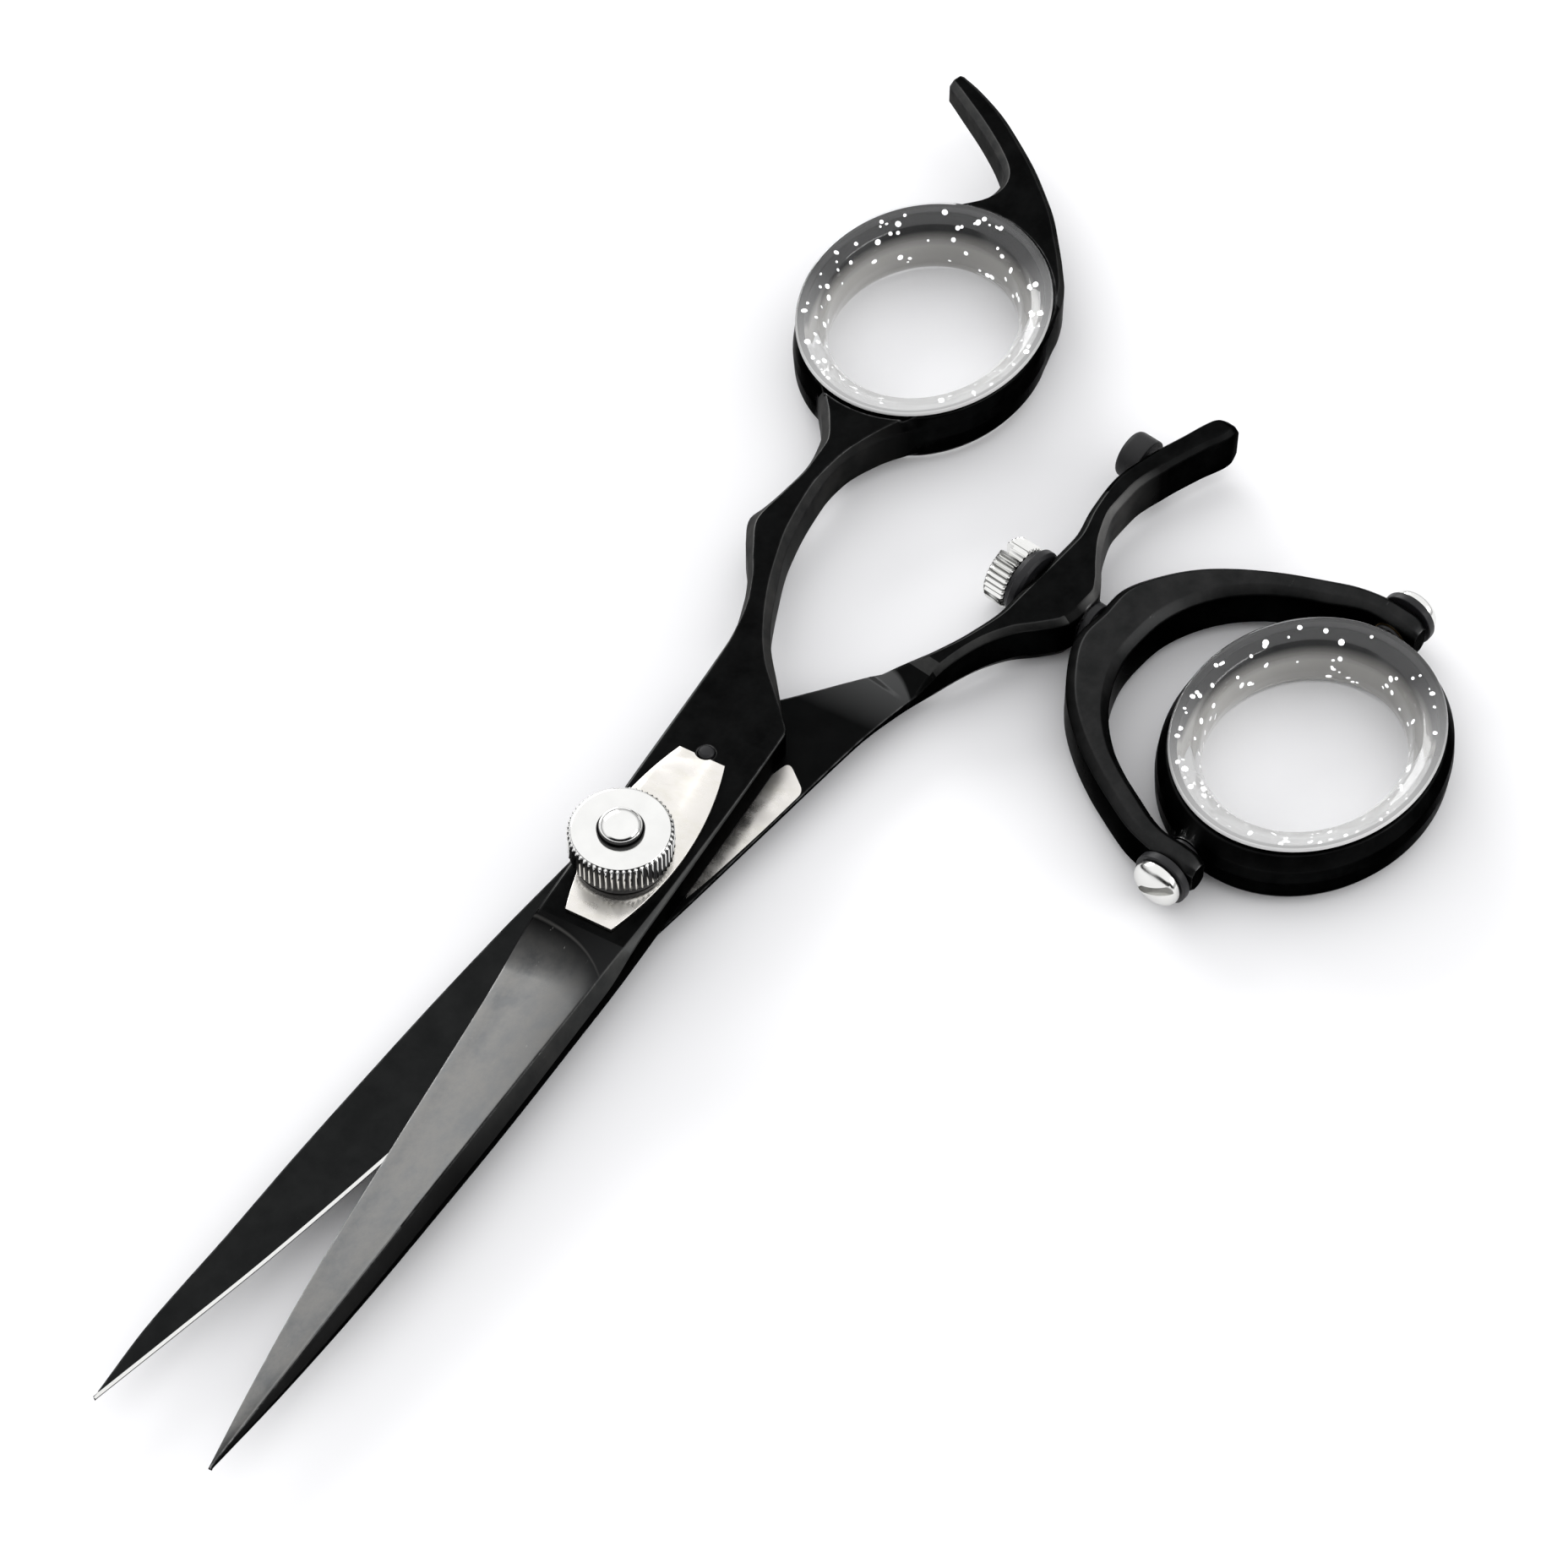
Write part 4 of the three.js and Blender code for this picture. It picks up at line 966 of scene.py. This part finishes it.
# tones of painted light on the hub wall
HUB_TONES = (0.084, 0.085, 0.085), (0.132, 0.130, 0.126)
DULL = (0.36, 0.48)
# painted light on the finger shank's side that faces +Y
COAT_BAND_LIT = coated("black_coating_band_lit", *BAND_TONES, DULL, edge=0.3, window=(-56, -46, -23, -19))
# painted light on the finger half's chamfers that face -Y
COAT_CHAMFER_LIT = coated("black_coating_chamfer_lit", *CHAMFER_LIT_TONES, DULL, edge=0.3, window=(-61, -55, 4, 9))
# painted light on the tang's chamfers that face -Y
COAT_TANG_LIT = coated("black_coating_tang_lit", *BAND_TONES, DULL, edge=0.3, window=(-99, -96, -85, -81))
# painted light on the thumb tang's wall by the hub that faces +Y
COAT_HUB_LIT = coated("black_coating_hub_lit", *HUB_TONES, DULL, edge=0.3, window=(-62.5, -54.5, -48.5, -44.5))
# painted light on the block's sloping faces that face +Y
COAT_BACK_LIT = coated("black_coating_back_lit", (0.036, 0.037, 0.037), (0.056, 0.056, 0.054), (0.34, 0.46), edge=0.4,
                   window=(-23, -19, 6, 34))
# painted reflection: the hollow-ground face is the same black coating, given a mid-grey tone for the light it
# reflects
COAT_GROUND_LIT = coated("black_coating_ground_lit", (0.080, 0.082, 0.083), (0.142, 0.140, 0.135), (0.36, 0.5), 0.25,
                     edge=0.30, heel=(0.006, 0.006, 0.006))
# painted shade towards the pivot block and a painted sheen at the flat inner face's round end
COAT_INNER = coated("black_coating_inner", (0.0115, 0.012, 0.012), (0.0160, 0.0165, 0.0165), (0.34, 0.44),
                    1.0, shade=(14, -8, 0.32), painted_sheen=True)
COAT_SPINE = coated("black_coating_spine", (0.006, 0.006, 0.006), (0.010, 0.010, 0.010), (0.3, 0.42))
# painted light: the fork's top faces get a lighter coating than its walls
COAT_FORK_TOP_LIT = coated("black_coating_fork_top_lit", (0.016, 0.0165, 0.0165), (0.026, 0.026, 0.026), edge=0.2)
STEEL = polished("polished_steel", streak=(260, 900, 900))
# painted shade: dark steel tone in knurl valleys and round the bolt
VALLEY_SHADE = polished("knurl_valley_shade", tone=(0.05, 0.05, 0.05), rough=0.3, streak=(900, 900, 900))
HONE = polished("honed_edge", tone=(0.78, 0.78, 0.76), rough=0.2, streak=(2600, 300, 300))
PLATE = polished("polished_plate", tone=(0.80, 0.775, 0.735), rough=0.2, streak=(900, 300, 300), stain=0.25,
                 marks=0.004)
# painted shade in the grooves of the yoke screw's knurl
GROOVE_SHADE = polished("screw_groove_shade", tone=(0.30, 0.30, 0.29), rough=0.3, streak=(900, 900, 900))
SCREW = polished("screw_steel", tone=(0.82, 0.82, 0.80), rough=0.12, streak=(1200, 1200, 1200))
BRONZE = polished("bearing_bronze", tone=(0.55, 0.38, 0.18), rough=0.28, streak=(900, 900, 900))
BLACK = plastic("black_plastic", (0.008, 0.008, 0.009), 0.42, 2600)
RUBBER = plastic("black_rubber", (0.007, 0.007, 0.0075), 0.5, 3600, 0.35)
# painted light: milkier towards the camera side
CLEAR = clear("clear_plastic", 0.004, 0.5)
# painted highlight along the lip's outer rim
RIM_HIGHLIGHT = clear("clear_plastic_rim_highlight", 0.008, 0.9)
BACKING = backing()
GLOWING_FLAKE = glowing_flake_material()


# ---- Which material each face gets ----
def honed(shape, c, y):
    """True on the narrow strip of an inner face along its cutting edge."""
    return c.x > BLADE_HEEL_X + 4 and y < shape["edge"](c.x) + HONED + 0.02


def finger_face(c, normal):
    if normal.z < -0.98 and honed(FINGER_SHAPE, c, c.y):
        return HONE
    # the faces below get pale copies of the coating by the way they face the lights: painted light
    if normal.z > 0.12 and normal.y > 0.2 and c.x > BLOCK_END_X:
        return COAT_BACK_LIT
    if c.x > BLADE_HEEL_X - 0.5:
        return COAT_GROUND_LIT if normal.z > 0.5 and normal.y < 0.2 else COAT_SPINE
    around = math.hypot(c.x - FINGER_RING[0], (c.y - FINGER_RING[1]) / OVAL)
    if normal.z > 0.95 or normal.z < -0.3 or around < FINGER_RING_R + 0.2:
        return COAT
    if normal.y < -0.2:
        return COAT_CHAMFER_LIT if c.x > -66 else COAT_TANG_LIT
    if normal.y > 0.2 and -58 < c.x < BLOCK_END_X:
        return COAT_BAND_LIT
    return COAT_FACET_LIT if normal.z > 0.12 else COAT


def thumb_face(c, normal):
    if 0.5 < (c.z - INNER_LOWER) / RIDE_PROUD < 1.5 and normal.z > 0.98 and c.x > RIDE[0][0]:
        return PLATE
    if normal.z > 0.98 and honed(THUMB_SHAPE, c, -c.y):
        return HONE
    if normal.z > 0.3 and c.x > -34.5 and abs(c.z - INNER_LOWER) < 1.2:
        return COAT_INNER
    # the hub wall facing +Y and the sloping facets get pale copies of the coating: painted light
    if normal.y > 0.3 and normal.z > -0.3 and -66 < c.x < -46:
        return COAT_HUB_LIT
    return COAT_FACET_LIT if 0.12 < normal.z < 0.95 and -60 < c.x < BLADE_HEEL_X else COAT


def insert_face(c, normal):
    """Backing on the skin against the ring; the lip's rim gets a painted highlight, a milkier share of the
    clear plastic, except on the far side.
    """
    around = math.hypot(c.x, c.y / OVAL)
    if around > 13.6 and c.z > 6.85 and c.x * FRONT[0] + c.y * FRONT[1] > -6.5:
        return RIM_HIGHLIGHT
    return BACKING if around > 12.6 and 0.1 < c.z < 6.9 and normal.z < 0.5 else CLEAR


def bolt_face(c, normal):
    """Painted shade round the foot of the dome."""
    return VALLEY_SHADE if c.z > DIAL_Z0 and normal.z < 0.45 else STEEL


def dial_face(c, normal):
    """Painted shade in the valleys of the knurl and round the bolt."""
    around = math.hypot(c.x, c.y)
    valley = 4.2 < around < DIAL_R - 0.4 * DIAL_FLUTE and abs(normal.z) < 0.5
    return VALLEY_SHADE if valley or around < BOLT_END_R + 0.15 else STEEL


def screw_face(c, normal):
    off_x = abs(c.x - YOKE_X)
    around = math.hypot(off_x, c.z - AXIS_Z)
    # painted shade in the knurl's grooves
    valley = 2.6 < around < SCREW_HEAD_R - 0.22 and abs(normal.y) < 0.5 and off_x > SCREW_SLOT + 0.02
    return GROOVE_SHADE if valley else SCREW


def fork_face(_, normal):
    # painted light on the top faces
    return COAT_FORK_TOP_LIT if normal.z > 0.3 else COAT


# ---- The pieces ----
def liner(word, body, seed, at):
    """A clear finger insert and the bright flakes in it."""
    piece(insert(), word + "_insert_clear", body, word + "_insert", "clear_plastic",
          [CLEAR, BACKING, RIM_HIGHLIGHT], at, choose=insert_face)
    piece(flakes(seed, 120), word + "_insert_flakes", body, None, "clear_plastic", GLOWING_FLAKE, at)


piece(finger_half(), "finger_half_forged", "finger_side", "finger_half", "black_coating",
      [COAT, COAT_FACET_LIT, COAT_GROUND_LIT, COAT_SPINE, HONE, COAT_CHAMFER_LIT, COAT_TANG_LIT, COAT_BAND_LIT, COAT_BACK_LIT],
      choose=finger_face)
piece(pivot_bolt(), "pivot_bolt_domed", "finger_side", "pivot_bolt", "polished_steel", [STEEL, VALLEY_SHADE],
      choose=bolt_face)
piece(leaf_plate(), "leaf_plate_polished", "finger_side", "leaf_plate", "polished_steel", PLATE, bevel=0.05)
# the plate pin's black finish is dark steel and painted shade in the notch round it
piece(plate_pin(), "plate_pin_round", "finger_side", "plate_pin", "dark_steel", BLACK,
      shift(PIN_X, PLATE_MID_Y, 0))
# the click washer's black finish is dark steel and painted shade in the gap under the dial
piece(click_washer(), "click_washer_stepped", "finger_side", "click_washer", "dark_steel", BLACK)
piece(tension_dial(), "tension_dial_knurled", "dial", "tension_dial", "polished_steel", [STEEL, VALLEY_SHADE],
      sharp=40, choose=dial_face)
liner("finger", "finger_side", 11, shift(*FINGER_RING, 0))

piece(thumb_half(), "thumb_half_forged", "thumb_side", "thumb_half", "black_coating",
      [COAT, COAT_FACET_LIT, COAT_INNER, HONE, PLATE, COAT_HUB_LIT], ON_THUMB, choose=thumb_face)
piece(bumper(), "bumper_rubber", "thumb_side", "bumper", "black_rubber", RUBBER,
      ON_THUMB @ shift(BUMPER_X, 0, AXIS_Z))

piece(yoke(), "yoke_fork", "yoke_body", "yoke", "black_coating", [COAT_FORK_TOP_LIT, COAT], ON_THUMB,
      choose=fork_face)
piece(yoke_screw(), "yoke_screw_knurled", "yoke_body", "yoke_screw", "polished_steel", [SCREW, GROOVE_SHADE],
      ON_THUMB, sharp=40, choose=screw_face)
piece(hub_washer(), "hub_washer_stepped", "yoke_body", "hub_washer", "black_plastic", BLACK, ON_THUMB)
piece(yoke_spacer(), "yoke_spacer_round", "yoke_body", "yoke_spacer", "black_plastic", BLACK, ON_THUMB)

piece(thumb_ring(), "thumb_ring_oval", "thumb_ring_body", "thumb_ring", "black_coating", COAT, ON_THUMB)
liner("thumb", "thumb_ring_body", 23, ON_THUMB @ shift(YOKE_X, THUMB_RING_Y, 0))
for word, side in (("left", -1), ("right", 1)):
    for shape, name, node, slot, look in (
            (ring_screw(), "ring_screw_domed_", "ring_screw_", "polished_steel", SCREW),
            (washer(FLIP_R + FIT, 2.7, ARM_OUT + FIT, ARM_OUT + FIT + WASHER_THICK, 0.15),
             "ring_washer_disc_", "ring_washer_", "black_plastic", BLACK),
            (washer(FLIP_R + FIT, 1.6, BOSS_OUT + FIT, ARM_IN - FIT, 0.05),
             "ring_spacer_disc_", "ring_spacer_", "black_plastic", BLACK)):
        piece(on_flip_axis(shape, side), name + word, "thumb_ring_body", node + word, slot, look, ON_THUMB)

for node, look in (("pivot_bushing", BRONZE), ("bearing_washer", BLACK), ("hub_bushing", BLACK),
                   ("bumper_stud", BLACK), ("arm_bushing_left", BRONZE), ("arm_bushing_right", BRONZE)):
    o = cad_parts[node]
    o.data.materials.clear()
    o.data.materials.append(look)


# ---- Floor, light and camera, in metres ----
FLOOR_HALF = 2
FLOOR_DROP = 0.0001
LIGHT_AIM = (-0.018, 0.006, 0)
CAMERA_AT = (0.22439, 0.14094, 0.38202)
CAMERA_AIM = (-0.01822, 0.00613, 0)
SENSOR_WIDTH = 36
FOCAL_LENGTH = 120.26


def floor():
    n = material("pale_floor")
    c = n.tint(n.noise(3, 3), (0.93, 0.93, 0.935), (0.915, 0.915, 0.925))
    b = n.add("BsdfPrincipled", {"Base Color": c, "Roughness": 0.75, "Specular IOR Level": 0.15})
    h = FLOOR_HALF
    me = mesh_of([(-h, -h, 0), (h, -h, 0), (h, h, 0), (-h, h, 0)], [(0, 1, 2, 3)], "floor")
    me.materials.append(n.finish(b.outputs[0]))
    o = bpy.data.objects.new("floor", me)
    o.location.z = -FLOOR_DROP
    bpy.context.scene.collection.objects.link(o)


def area(name, direction, distance, width, height, radiance):
    light = bpy.data.lights.new(name, "AREA")
    light.shape = "RECTANGLE"
    light.size, light.size_y = width, height
    light.energy = radiance * math.pi * width * height
    o = bpy.data.objects.new(name, light)
    d = Vector(direction).normalized()
    o.location = Vector(LIGHT_AIM) + d * distance
    o.rotation_mode = "QUATERNION"
    o.rotation_quaternion = (-d).to_track_quat("-Z", "Y")
    bpy.context.scene.collection.objects.link(o)


def sky():
    """A bright tent, darker towards the horizon and darkest low on the side that faces the camera."""
    world = bpy.data.worlds.new("studio")
    bpy.context.scene.world = world
    n = Nodes(world, "OutputWorld")
    direction = n.add("TexCoord").outputs["Generated"]
    z = n.add("SeparateXYZ", {0: direction}).outputs["Z"]
    facing = n.ramp(n.dot(direction, FRONT), 0.0, 0.92, 0.35, 0.75, SMOOTH)
    front = n.math("MULTIPLY", facing, n.ramp(z, 0.0, 1.0, 0.62, 0.38, SMOOTH))
    keep = n.ramp(front, 1.0, 0.0, 0.0, 1.0, SMOOTH)
    strength = n.math("MULTIPLY", n.ramp(z, 0.32, 1.12, 0.0, 0.45, SMOOTH), keep)
    n.finish(n.add("Background", {0: (1.0, 1.0, 1.01, 1), 1: strength}).outputs[0])


def camera():
    data = bpy.data.cameras.new("camera")
    data.sensor_width = SENSOR_WIDTH
    data.lens = FOCAL_LENGTH
    data.clip_start, data.clip_end = 0.01, 10
    o = bpy.data.objects.new("camera", data)
    o.location = CAMERA_AT
    o.rotation_mode = "QUATERNION"
    o.rotation_quaternion = (Vector(CAMERA_AIM) - o.location).to_track_quat("-Z", "Y")
    bpy.context.scene.collection.objects.link(o)
    bpy.context.scene.camera = o


floor()
sky()
area("left", (-0.5, -0.76, 0.40), distance=0.6, width=0.40, height=0.18, radiance=6.5)
area("right", (-0.2, 0.9, 0.40), distance=0.6, width=0.40, height=0.14, radiance=4.0)
camera()
bpy.context.scene.view_settings.view_transform = "Standard"
